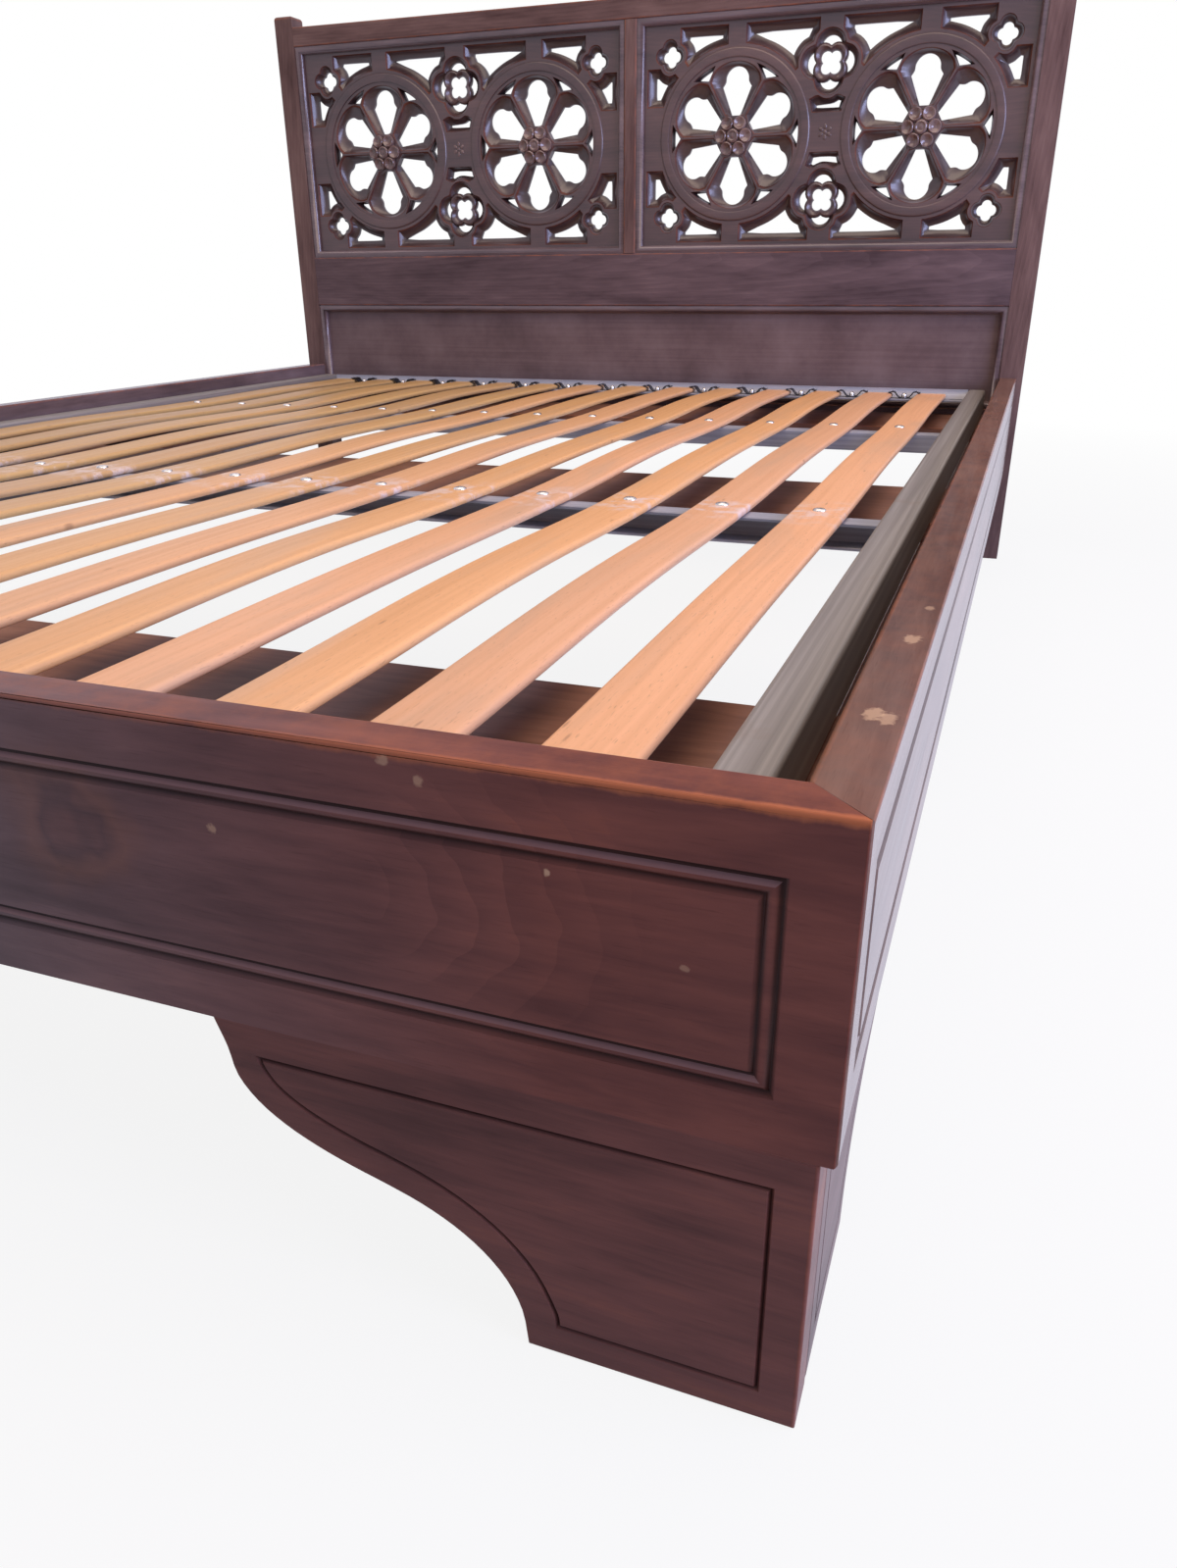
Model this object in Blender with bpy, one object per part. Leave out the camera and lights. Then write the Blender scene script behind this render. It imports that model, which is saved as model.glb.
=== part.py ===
"""Double bed with a pierced tracery headboard and a loose slatted base.

Metres, +Z up. X runs across the bed and +Y from the foot to the head. The origin is on the floor,
under the middle of the bed. The slatted base lifts straight up out of the wooden frame.
"""
import math

import bmesh
import bpy
from mathutils import Matrix, Vector
from mathutils.geometry import interpolate_bezier

# Fits
GAP = 0.0003  # between two pieces that touch
BORE_PLAY = 0.0005  # radial play of a bolt or nut in its hole

# Slatted base, a standard double size
BASE_WIDTH = 1.415
BASE_LENGTH = 1.895
BASE_LEFT_PLAY = 0.005  # between the base and the left side rail, to which it is pushed
BASE_RIGHT_PLAY = 0.022
BASE_END_PLAY = 0.008  # between the base and the footboard or headboard
BASE_DROP = 0.021  # the base's top lies below the top of the boards
BASE_RAIL_WIDTH = 0.030
BASE_RAIL_HEIGHT = 0.042
BASE_RAIL_WALL = 0.002
BASE_RAIL_CORNER = 0.004
STEEL = 0.003  # thickness of the angle rails and channel bars
END_RAIL_FLANGE = 0.040
CROSS_BAR_FLANGE = 0.030
NEAR_RIVET_LINE = 0.694  # from the foot end of the base
FAR_RIVET_LINE = 1.368
SLAT_COUNT = 14
SLAT_WIDTH = 0.053
SLAT_THICKNESS = 0.008
SLAT_EDGE = 0.003  # rounding of the slats' edges
SLAT_DROP = 0.008  # slat tops lie below the top of the base rails
SLAT_LEFT_GAP = 0.006  # between the outer slats and the base rails
SLAT_RIGHT_GAP = 0.0385
SLAT_END_PLAY = 0.004

# Footboard and side rails
BOARD_THICKNESS = 0.029
BOARD_HEIGHT = 0.165
BOARD_BOTTOM = 0.167  # clear height under the boards
BOARD_BEAD_MARGIN = 0.029  # from the board's edges to the routed bead
BOARD_BEAD_WIDTH = 0.012
BOARD_BEAD_DEPTH = 0.003

# Bracket feet
FOOT_SIDE_SETBACK = 0.007  # behind the side rail's face; the front is flush
FOOT_LENGTH = 0.313  # along the board above
FOOT_SOLE = 0.141  # along the floor
FOOT_STEP = 0.006  # small step at the top of the ogee
FOOT_STEP_HEIGHT = 0.017
FOOT_TURN_HEIGHT = 0.084  # where the ogee turns from convex to hollow
FOOT_TURN_RUN = 0.095  # from the inner end of the foot to that turn
OGEE_PULL = 0.6  # how upright the curve leaves the floor and the step
OGEE_STEPS = 7
FOOT_GROOVE_INSET = 0.020  # from the foot's edges to the engraved line
FOOT_GROOVE_WIDTH = 0.003
FOOT_GROOVE_DEPTH = 0.002
CORNER_POST = 0.048

# What carries the base
LEDGER = 0.025
CROSS_BOARD_WIDTH = 0.225
CROSS_BOARD_THICKNESS = 0.020
CROSS_BOARD_SIDE_PLAY = 0.002
CROSS_BOARD_END_PLAY = 0.019  # from the footboard or headboard to the outer boards

# Headboard frame
POST_WIDTH = 0.040
POST_DEPTH = 0.040
POST_HEIGHT = 0.989
POST_RISE = 0.020  # posts above the top rail
POST_OVERHANG = 0.010  # posts outside the side rails
RAIL_DEPTH = 0.032
TOP_RAIL_HEIGHT = 0.034
MIDDLE_RAIL_HEIGHT = 0.095
MIDDLE_RAIL_BOTTOM = 0.453
BOTTOM_RAIL_HEIGHT = 0.055
STILE_WIDTH = 0.024
TENON_LENGTH = 0.012
TENON_THICKNESS = 0.012
TENON_SHOULDER = 0.009
STILE_TENON_WIDTH = 0.008
GROOVE_DEPTH = 0.006
TONGUE_THICKNESS = 0.008
PANEL_BEAD_WIDTH = 0.013
PANEL_BEAD_QUIRK = 0.002
PANEL_BEAD_CROWN = (0.2, 0.6, 0.85)  # shares of the width where the round starts, stops and slopes
PANEL_BEAD_FOOT = 0.6  # share of the depth where the slope ends
LOWER_PANEL_THICKNESS = 0.009
LOWER_PANEL_RECESS = 0.0155

# Pierced tracery. The pattern is drawn for one size of wheel and fitted to the opening in proportion.
TRACERY_RECESS = 0.0125
TRACERY_THICKNESS = 0.019
TRACERY_BORDER = 0.017
DRAWN_WHEEL = 0.145  # radius that the pattern's sizes below belong to
CHAMFER = 0.004
CHAMFER_DEPTH = 0.009
TAB_LENGTH = 0.0185  # from a wheel to the border above and below
TAB_WIDTH = 0.032
SIDE_BLOCK = 0.011  # from a wheel to the border at the side
SIDE_BLOCK_HEIGHT = 0.104
BRIDGE = 0.046  # between the two wheels
BRIDGE_HEIGHT = 0.062
RIM_WIDTH = 0.025
HUB_RADIUS = 0.033
SPOKE_COUNT = 6
SPOKE_RIDGE = 0.003
SPOKE_ROOT = 0.020  # spoke width at the hub, at the foot of its slopes
SPOKE_SHOULDER = 0.033  # spoke width where the petal's head begins
PETAL_SHOULDER = 0.040  # inwards from the rim
PETAL_CUSP = 0.032
PETAL_CUSP_HALF = 0.022
PETAL_CROWN = 0.008
ARCH_SPRING = 0.034
ARCH_CROWN = 0.001
ARCH_STEPS = 8
EYE_DEPTH = 0.0185  # of the pierced triangle at a spoke's end
EYE_SPREAD = math.radians(11.5)
EYE_CHAMFER = 0.003
LARGE_LOBE = 0.0275
LARGE_LOBE_OFFSET = 0.024
LARGE_LOBE_SLOPE = 0.006
SMALL_LOBE = 0.0145
SMALL_LOBE_OFFSET = 0.0125
SMALL_LOBE_SLOPE = 0.003
FOIL_RIM = 0.004  # raised rim round a quatrefoil
LOBE_STEPS = 5
# Angles on a lobe where a pierced field starts and stops
HIGH_LOBE_START = math.radians(50)
RIGHT_LOBE_STOP = math.radians(-12)
CORNER_SIDE_LOBE = (math.radians(215), math.radians(110))
CORNER_UNDER_LOBE = (math.radians(340), math.radians(235))
BRIDGE_LOBE = (math.radians(-55), math.radians(-125))
ROSETTE_RADIUS = 0.034
ROSETTE_RISE = 0.0115
ROSETTE_PETALS = 6
# Round one petal, as shares: how far it reaches and how high it swells
ROSETTE_REACH = (0.84, 0.96, 1.0, 0.96)
ROSETTE_SWELL = (0.45, 0.85, 1.0, 0.85)
# From the rim to the knob, as shares: radius, level, and rise of the petals
ROSETTE_RINGS = ((1.0, 0.0, 0.0), (1.0, 0.3, 0.25), (0.70, 0.3, 0.6), (0.40, 0.35, 0.2), (0.30, 0.55, 0.0),
                 (0.20, 0.9, 0.0))

# Bed bolts through the posts into the side rails
BOLT_RADIUS = 0.004
BOLT_HEAD_RADIUS = 0.0075
BOLT_HEAD_HEIGHT = 0.0055
BOLT_GRIP = 0.060  # length in the side rail
BOLT_SPACING = 0.100
COUNTERBORE_RADIUS = 0.012
COUNTERBORE_DEPTH = 0.007
BARREL_RADIUS = 0.007
BARREL_LENGTH = 0.020
BARREL_SETBACK = 0.042
BARREL_FLOOR = 0.0025  # wood left behind the barrel nut
ROUND_SIDES = 12

# Worked out from the sizes above
INNER_WIDTH = BASE_WIDTH + BASE_LEFT_PLAY + BASE_RIGHT_PLAY
INNER_LENGTH = BASE_LENGTH + 2 * BASE_END_PLAY
BED_WIDTH = INNER_WIDTH + 2 * BOARD_THICKNESS
BED_LENGTH = BOARD_THICKNESS + INNER_LENGTH + POST_DEPTH
FOOT_FACE = -BED_LENGTH / 2
HEAD_FACE = BED_LENGTH / 2 - POST_DEPTH
BOARD_MIDDLE = BOARD_BOTTOM + BOARD_HEIGHT / 2
BASE_BOTTOM = BOARD_BOTTOM + BOARD_HEIGHT - BASE_DROP - BASE_RAIL_HEIGHT
CROSS_BOARD_BOTTOM = BASE_BOTTOM - GAP - CROSS_BOARD_THICKNESS
LEDGER_TOP = CROSS_BOARD_BOTTOM - GAP
SLAT_TOP = BASE_RAIL_HEIGHT - SLAT_DROP
SLAT_BED = SLAT_TOP - SLAT_THICKNESS - GAP
CROSS_BAR_HEIGHT = SLAT_BED
BASE_X = (BASE_LEFT_PLAY - BASE_RIGHT_PLAY) / 2
FIRST_SLAT = -BASE_WIDTH / 2 + BASE_RAIL_WIDTH + SLAT_LEFT_GAP + SLAT_WIDTH / 2
LAST_SLAT = BASE_WIDTH / 2 - BASE_RAIL_WIDTH - SLAT_RIGHT_GAP - SLAT_WIDTH / 2
SLAT_PITCH = (LAST_SLAT - FIRST_SLAT) / (SLAT_COUNT - 1)
POST_INNER = BED_WIDTH / 2 + POST_OVERHANG - POST_WIDTH
TOP_RAIL_BOTTOM = POST_HEIGHT - POST_RISE - TOP_RAIL_HEIGHT
MIDDLE_RAIL_TOP = MIDDLE_RAIL_BOTTOM + MIDDLE_RAIL_HEIGHT
BOTTOM_RAIL_BOTTOM = BOARD_MIDDLE - BOTTOM_RAIL_HEIGHT / 2
BOTTOM_RAIL_TOP = BOTTOM_RAIL_BOTTOM + BOTTOM_RAIL_HEIGHT
OPENING_WIDTH = POST_INNER - STILE_WIDTH / 2
OPENING_HEIGHT = TOP_RAIL_BOTTOM - MIDDLE_RAIL_TOP
OPENING_X = (POST_INNER + STILE_WIDTH / 2) / 2
OPENING_Z = (TOP_RAIL_BOTTOM + MIDDLE_RAIL_TOP) / 2
LOWER_HEIGHT = MIDDLE_RAIL_BOTTOM - BOTTOM_RAIL_TOP
LOWER_Z = (MIDDLE_RAIL_BOTTOM + BOTTOM_RAIL_TOP) / 2
FIELD_X = OPENING_WIDTH / 2 - PANEL_BEAD_WIDTH - TRACERY_BORDER
FIELD_Z = OPENING_HEIGHT / 2 - PANEL_BEAD_WIDTH - TRACERY_BORDER
WHEEL_RADIUS = min(FIELD_Z - TAB_LENGTH, FIELD_X / 2 - SIDE_BLOCK / 2 - BRIDGE / 4)
WHEEL_X = FIELD_X - SIDE_BLOCK - WHEEL_RADIUS
PATTERN_SCALE = WHEEL_RADIUS / DRAWN_WHEEL
DRAWN_FIELD_X = FIELD_X / PATTERN_SCALE
DRAWN_FIELD_Z = FIELD_Z / PATTERN_SCALE
DRAWN_WHEEL_X = WHEEL_X / PATTERN_SCALE
RIM_INNER = DRAWN_WHEEL - RIM_WIDTH
SPOKE_ANGLE = 2 * math.pi / SPOKE_COUNT
TONGUE_FRONT = TRACERY_RECESS + (TRACERY_THICKNESS - TONGUE_THICKNESS) / 2
BOLT_X = BED_WIDTH / 2 - BOARD_THICKNESS / 2

SIDES = {"left": -1, "right": 1}
CORNERS = ((-1, -1), (1, -1), (1, 1), (-1, 1))


# Materials

def finish(name, colour, roughness, metallic=0.0):
    """Returns a plain material from an sRGB hex colour."""
    channels = [int(colour[k:k + 2], 16) / 255 for k in (1, 3, 5)]
    linear = [c / 12.92 if c <= 0.04045 else ((c + 0.055) / 1.055) ** 2.4 for c in channels]
    material = bpy.data.materials.new(name)
    material.use_nodes = True
    shader = material.node_tree.nodes["Principled BSDF"]
    shader.inputs["Base Color"].default_value = (*linear, 1.0)
    shader.inputs["Roughness"].default_value = roughness
    shader.inputs["Metallic"].default_value = metallic
    return material


# Shapes

def turn(axis, a, b, along):
    """Places the point (a, b) of a section square to an axis."""
    if axis == "X":
        return (along, a, b)
    if axis == "Y":
        return (a, along, b)
    return (a, b, along)


def bridge(shape, first, second):
    """Joins two rings of as many points with a band of faces."""
    for k, corner in enumerate(first):
        n = (k + 1) % len(first)
        shape.faces.new((corner, first[n], second[n], second[k]))


def add_box(shape, low, high):
    """Adds a closed box between two corners."""
    middle = (Vector(low) + Vector(high)) / 2
    size = Vector(high) - Vector(low)
    bmesh.ops.create_cube(shape, size=1.0, matrix=Matrix.LocRotScale(middle, None, size))


def add_prism(shape, outline, axis, start, stop):
    """Adds an outline drawn out along an axis."""
    first = [shape.verts.new(turn(axis, a, b, start)) for a, b in outline]
    last = [shape.verts.new(turn(axis, a, b, stop)) for a, b in outline]
    shape.faces.new(first)
    shape.faces.new(list(reversed(last)))
    bridge(shape, first, last)


def add_stepped_bar(shape, axis, sections):
    """Adds a bar of rectangular sections, each given as its place on the axis and two corners."""
    rings = []
    for along, low, high in sections:
        corners = ((low[0], low[1]), (high[0], low[1]), (high[0], high[1]), (low[0], high[1]))
        rings.append([shape.verts.new(turn(axis, a, b, along)) for a, b in corners])
    shape.faces.new(rings[0])
    shape.faces.new(list(reversed(rings[-1])))
    for first, second in zip(rings, rings[1:]):
        bridge(shape, first, second)


def add_mitred_frame(shape, width, height, profile):
    """Adds a closed frame round the origin in the XZ plane, from insets and depths of its section."""
    rings = []
    for inset, depth in profile:
        x = width / 2 - inset
        z = height / 2 - inset
        rings.append([shape.verts.new((u * x, depth, v * z)) for u, v in CORNERS])
    for k, ring in enumerate(rings):
        bridge(shape, ring, rings[(k + 1) % len(rings)])


def add_turned(shape, profile, sides, matrix):
    """Adds a profile of radii and heights turned about Z, closed at both ends on the axis."""
    rings = []
    for radius, height in profile:
        angles = [2 * math.pi * k / sides for k in range(sides)]
        rings.append([shape.verts.new(matrix @ Vector((radius * math.cos(t), radius * math.sin(t), height)))
                      for t in angles])
    shape.faces.new(rings[0])
    shape.faces.new(list(reversed(rings[-1])))
    for first, second in zip(rings, rings[1:]):
        bridge(shape, first, second)


def round_rectangle(width, height, radius, steps):
    """Returns a rectangle round the origin with rounded corners, counter-clockwise."""
    points = []
    for quarter, (u, v) in enumerate(((1, 1), (-1, 1), (-1, -1), (1, -1))):
        for k in range(steps + 1):
            t = math.pi / 2 * (quarter + k / steps)
            x = u * (width / 2 - radius) + radius * math.cos(t)
            points.append((x, v * (height / 2 - radius) + radius * math.sin(t)))
    return points


def arc(centre, radius, start, stop, steps):
    """Returns points on an arc, both ends included."""
    angles = [start + (stop - start) * k / steps for k in range(steps + 1)]
    return [Vector((centre[0] + radius * math.cos(t), centre[1] + radius * math.sin(t))) for t in angles]


def inset_outline(points, distance):
    """Moves every side of an outline inwards by one distance."""
    moved = []
    for k, point in enumerate(points):
        before = (point - points[k - 1]).normalized()
        after = (points[(k + 1) % len(points)] - point).normalized()
        first = Vector((-before.y, before.x))
        second = Vector((-after.y, after.x))
        moved.append(point + (first + second) * (distance / (1 + first.dot(second))))
    return moved


# Objects

def put(name, shape, material, parent, location=(0, 0, 0)):
    """Makes an object from a shape, under a parent."""
    bmesh.ops.recalc_face_normals(shape, faces=shape.faces)
    mesh = bpy.data.meshes.new(name)
    shape.to_mesh(mesh)
    shape.free()
    mesh.materials.append(material)
    part = bpy.data.objects.new(name, mesh)
    part.location = location
    part.parent = parent
    bpy.context.collection.objects.link(part)
    return part


def put_box(name, low, high, material, parent):
    """Makes a box with its origin in its middle."""
    half = (Vector(high) - Vector(low)) / 2
    shape = bmesh.new()
    add_box(shape, -half, half)
    return put(name, shape, material, parent, (Vector(low) + Vector(high)) / 2)


def put_cutter(name, shape, parent, location=(0, 0, 0), turned=0.0):
    """Makes a hidden shape that cuts others."""
    cutter = put(name, shape, MATERIALS["cutter"], parent, location)
    cutter.rotation_euler = (0, 0, turned)
    cutter.hide_render = True
    cutter.display_type = "WIRE"
    return cutter


def cut(part, cutter):
    """Takes a cutter's shape out of a part."""
    modifier = part.modifiers.new(cutter.name, "BOOLEAN")
    modifier.operation = "DIFFERENCE"
    modifier.solver = "EXACT"
    modifier.object = cutter


def put_empty(name, location, parent=None):
    """Makes the reference point of a sub-assembly."""
    empty = bpy.data.objects.new(name, None)
    empty.location = location
    empty.parent = parent
    bpy.context.collection.objects.link(empty)
    return empty


# Footboard, side rails and what stands under them

def bead_cutter(length):
    """Returns the shape that routs two quirks with a round bead between them round a board's face."""
    half = BOARD_BEAD_WIDTH / 2
    quirk = BOARD_BEAD_WIDTH / 6
    rise = BOARD_BEAD_DEPTH
    profile = [(0, -rise), (0, 0), (quirk, rise), (half - quirk, rise / 4), (half + quirk, rise / 4),
               (BOARD_BEAD_WIDTH - quirk, rise), (BOARD_BEAD_WIDTH, 0), (BOARD_BEAD_WIDTH, -rise)]
    shape = bmesh.new()
    width = length - 2 * BOARD_BEAD_MARGIN
    add_mitred_frame(shape, width, BOARD_HEIGHT - 2 * BOARD_BEAD_MARGIN, profile)
    return shape


def make_footboard(frame):
    """Footboard, mitred into the side rails, with a bead routed round its face."""
    outer = BED_WIDTH / 2
    inner = outer - BOARD_THICKNESS
    outline = [(-outer, 0), (outer, 0), (inner, BOARD_THICKNESS), (-inner, BOARD_THICKNESS)]
    shape = bmesh.new()
    add_prism(shape, outline, "Z", 0, BOARD_HEIGHT)
    board = put("footboard", shape, MATERIALS["stained_wood"], frame, (0, FOOT_FACE, BOARD_BOTTOM))
    middle = (0, FOOT_FACE, BOARD_MIDDLE)
    cut(board, put_cutter("footboard_bead_cutter", bead_cutter(BED_WIDTH), frame, middle))


def bolt_heights():
    """Returns the heights of the bed bolts, one above and one below the middle of the side rails."""
    return (BOARD_MIDDLE - BOLT_SPACING / 2, BOARD_MIDDLE + BOLT_SPACING / 2)


def along_y(x, y, z):
    """Returns the place of a turned shape whose axis points to +Y."""
    return Matrix.Translation((x, y, z)) @ Matrix.Rotation(-math.pi / 2, 4, "X")


def along_x(x, y, z, side):
    """Returns the place of a turned shape whose axis points outwards on one side."""
    return Matrix.Translation((x, y, z)) @ Matrix.Rotation(side * math.pi / 2, 4, "Y")


def make_side_rail(name, side, frame):
    """Side rail, mitred to the footboard and bored for the bed bolts at the head."""
    outer = side * BED_WIDTH / 2
    inner = side * INNER_WIDTH / 2
    mitre = GAP * math.sqrt(2)
    stop = HEAD_FACE - GAP
    inner_start = FOOT_FACE + BOARD_THICKNESS + mitre
    outline = [(outer, FOOT_FACE + mitre), (outer, stop), (inner, stop), (inner, inner_start)]
    shape = bmesh.new()
    add_prism(shape, outline, "Z", BOARD_BOTTOM, BOARD_BOTTOM + BOARD_HEIGHT)
    rail = put(f"{name}_side_rail", shape, MATERIALS["stained_wood"], frame)
    length = stop - FOOT_FACE
    middle = (outer, FOOT_FACE + length / 2, BOARD_MIDDLE)
    bead = put_cutter(f"{name}_rail_bead_cutter", bead_cutter(length), frame, middle, side * math.pi / 2)
    cut(rail, bead)
    bores = bmesh.new()
    barrels = bmesh.new()
    radius = BOLT_RADIUS + BORE_PLAY
    bore = [(radius, -BOLT_GRIP - BORE_PLAY), (radius, BORE_PLAY)]
    radius = BARREL_RADIUS + BORE_PLAY
    barrel = [(radius, -BORE_PLAY), (radius, BOARD_THICKNESS - BARREL_FLOOR)]
    for height in bolt_heights():
        add_turned(bores, bore, ROUND_SIDES, along_y(side * BOLT_X, HEAD_FACE, height))
        place = along_x(inner, HEAD_FACE - BARREL_SETBACK, height, side)
        add_turned(barrels, barrel, ROUND_SIDES, place)
    cut(rail, put_cutter(f"{name}_rail_bolt_cutter", bores, frame))
    cut(rail, put_cutter(f"{name}_rail_barrel_cutter", barrels, frame))


def ogee(setback):
    """Returns the curve of a bracket foot, from its sole up to the small step under the board."""
    sole = FOOT_SOLE - setback
    run = FOOT_LENGTH - setback
    step = Vector((run - FOOT_STEP, BOARD_BOTTOM - GAP - FOOT_STEP_HEIGHT))
    bend = Vector((run - FOOT_TURN_RUN, FOOT_TURN_HEIGHT))
    floor = Vector((sole, 0))
    lean = Vector((bend.x - sole, bend.y / 4)) / 2
    rise = Vector((0, bend.y * OGEE_PULL))
    drop = Vector((0, (step.y - bend.y) * OGEE_PULL))
    hollow = interpolate_bezier(floor, floor + rise, bend - lean, bend, OGEE_STEPS)
    belly = interpolate_bezier(bend, bend + lean, step - drop, step, OGEE_STEPS)
    return [Vector((p.x, p.y)) for p in hollow + belly[1:]]


def foot_outline(setback):
    """Returns a bracket foot's outline. It runs from the corner inwards, and up to the board above."""
    top = BOARD_BOTTOM - GAP
    return [(0, 0)] + [tuple(p) for p in ogee(setback)] + [(FOOT_LENGTH - setback, top), (0, top)]


def foot_groove(setback, axis, flip, inwards):
    """Returns the shape that engraves a line along the edges of a foot's face."""
    top = BOARD_BOTTOM - GAP
    curve = ogee(setback)
    edge = [Vector((0, 0))] + curve + [Vector((curve[-1].x, top)), Vector((0, top))]
    line = inset_outline(edge, FOOT_GROOVE_INSET)
    highest = top - FOOT_GROOVE_INSET - FOOT_GROOVE_WIDTH
    line = [p for p in line[:-2] if p.y < highest] + line[-2:]
    width = FOOT_GROOVE_WIDTH
    depth = FOOT_GROOVE_DEPTH
    shape = bmesh.new()
    rings = []
    for inset, level in ((-width, -depth), (0, depth), (width, -depth)):
        points = inset_outline(line, inset)
        rings.append([shape.verts.new(turn(axis, flip * p.x, p.y, inwards * level)) for p in points])
    for k, ring in enumerate(rings):
        bridge(shape, ring, rings[(k + 1) % len(rings)])
    return shape


def make_bracket_foot(name, side, frame):
    """Bracket foot: an ogee front board, a side return behind it and a corner post inside."""
    outer = side * (BED_WIDTH / 2 - FOOT_SIDE_SETBACK)
    shape = bmesh.new()
    outline = [(-side * a, b) for a, b in foot_outline(0)]
    add_prism(shape, outline, "Y", 0, BOARD_THICKNESS)
    place = (outer, FOOT_FACE, 0)
    front = put(f"{name}_foot_front", shape, MATERIALS["stained_wood"], frame, place)
    cut(front, put_cutter(f"{name}_front_groove_cutter", foot_groove(0, "Y", -side, 1), frame, place))
    shape = bmesh.new()
    start = FOOT_FACE + BOARD_THICKNESS + GAP
    setback = start - FOOT_FACE
    add_prism(shape, foot_outline(setback), "X", 0, -side * (BOARD_THICKNESS - FOOT_SIDE_SETBACK))
    place = (outer, start, 0)
    back = put(f"{name}_foot_return", shape, MATERIALS["stained_wood"], frame, place)
    cut(back, put_cutter(f"{name}_return_groove_cutter", foot_groove(setback, "X", 1, -side), frame, place))
    near = side * (INNER_WIDTH / 2 - GAP)
    far = near - side * CORNER_POST
    low = (min(near, far), start, 0)
    high = (max(near, far), start + CORNER_POST, LEDGER_TOP)
    put_box(f"{name}_corner_post", low, high, MATERIALS["plain_wood"], frame)


def ledger_ends():
    """Returns where the ledgers start, behind the corner posts, and stop, at the headboard."""
    return FOOT_FACE + BOARD_THICKNESS + CORNER_POST + 2 * GAP, HEAD_FACE - GAP


def make_ledgers(frame):
    """Ledger strips along the inside of the side rails."""
    start, stop = ledger_ends()
    for name, side in SIDES.items():
        near = side * (INNER_WIDTH / 2 - GAP)
        far = near - side * LEDGER
        low = (min(near, far), start, LEDGER_TOP - LEDGER)
        high = (max(near, far), stop, LEDGER_TOP)
        put_box(f"{name}_ledger", low, high, MATERIALS["plain_wood"], frame)


def make_cross_boards(frame):
    """Three wide boards that lie across the ledgers."""
    half = INNER_WIDTH / 2 - CROSS_BOARD_SIDE_PLAY
    first = FOOT_FACE + BOARD_THICKNESS + CROSS_BOARD_END_PLAY
    last = HEAD_FACE - CROSS_BOARD_END_PLAY - CROSS_BOARD_WIDTH
    starts = {"foot": first, "middle": (first + last) / 2, "head": last}
    for name, start in starts.items():
        low = (-half, start, CROSS_BOARD_BOTTOM)
        high = (half, start + CROSS_BOARD_WIDTH, CROSS_BOARD_BOTTOM + CROSS_BOARD_THICKNESS)
        put_box(f"{name}_cross_board", low, high, MATERIALS["plain_wood"], frame)


# Headboard. Its own frame starts at its front face, with Y to the back and Z from the floor.

def grown_box(shape, low, high, play):
    """Adds a box grown by some play on every side."""
    add_box(shape, [c - play for c in low], [c + play for c in high])


def tenon_section(low, high):
    """Returns a rail's tenon section between two heights."""
    front = (RAIL_DEPTH - TENON_THICKNESS) / 2
    return (front, low + TENON_SHOULDER), (front + TENON_THICKNESS, high - TENON_SHOULDER)


def make_rail(name, low, high, head):
    """Rail between the posts with a tenon at each end."""
    end = POST_INNER - GAP
    tip = POST_INNER + TENON_LENGTH
    body = ((0, low), (RAIL_DEPTH, high))
    tenon = tenon_section(low, high)
    sections = [(-tip, *tenon), (-end, *tenon), (-end, *body), (end, *body), (end, *tenon), (tip, *tenon)]
    shape = bmesh.new()
    add_stepped_bar(shape, "X", sections)
    return put(name, shape, MATERIALS["stained_wood"], head)


def rail_levels():
    """Returns each rail's name with its lowest and highest edge."""
    return {
        "headboard_top_rail": (TOP_RAIL_BOTTOM, TOP_RAIL_BOTTOM + TOP_RAIL_HEIGHT),
        "headboard_middle_rail": (MIDDLE_RAIL_BOTTOM, MIDDLE_RAIL_TOP),
        "headboard_bottom_rail": (BOTTOM_RAIL_BOTTOM, BOTTOM_RAIL_TOP),
    }


def stile_tenon():
    """Returns the section of the centre stile's tenons."""
    front = (RAIL_DEPTH - TENON_THICKNESS) / 2
    return (-STILE_TENON_WIDTH / 2, front), (STILE_TENON_WIDTH / 2, front + TENON_THICKNESS)


def make_posts(head):
    """Posts with mortises for the rails and counterbored holes for the bed bolts."""
    posts = {}
    for name, side in SIDES.items():
        outer = side * (POST_INNER + POST_WIDTH)
        inner = side * POST_INNER
        low = (min(outer, inner), 0, 0)
        high = (max(outer, inner), POST_DEPTH, POST_HEIGHT)
        post = put_box(f"{name}_headboard_post", low, high, MATERIALS["stained_wood"], head)
        mortises = bmesh.new()
        for bottom, top in rail_levels().values():
            near, far = tenon_section(bottom, top)
            ends = sorted((inner - side * TENON_LENGTH, inner + side * TENON_LENGTH))
            grown_box(mortises, (ends[0], *near), (ends[1], *far), GAP)
        cut(post, put_cutter(f"{name}_mortise_cutter", mortises, head))
        bores = bmesh.new()
        radius = BOLT_RADIUS + BORE_PLAY
        seat = POST_DEPTH - COUNTERBORE_DEPTH
        profile = [(radius, -BORE_PLAY), (radius, seat), (COUNTERBORE_RADIUS, seat),
                   (COUNTERBORE_RADIUS, POST_DEPTH + BORE_PLAY)]
        for height in bolt_heights():
            add_turned(bores, profile, ROUND_SIDES, along_y(side * BOLT_X, 0, height))
        cut(post, put_cutter(f"{name}_post_bolt_cutter", bores, head))
        posts[name] = post
    return posts


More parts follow.
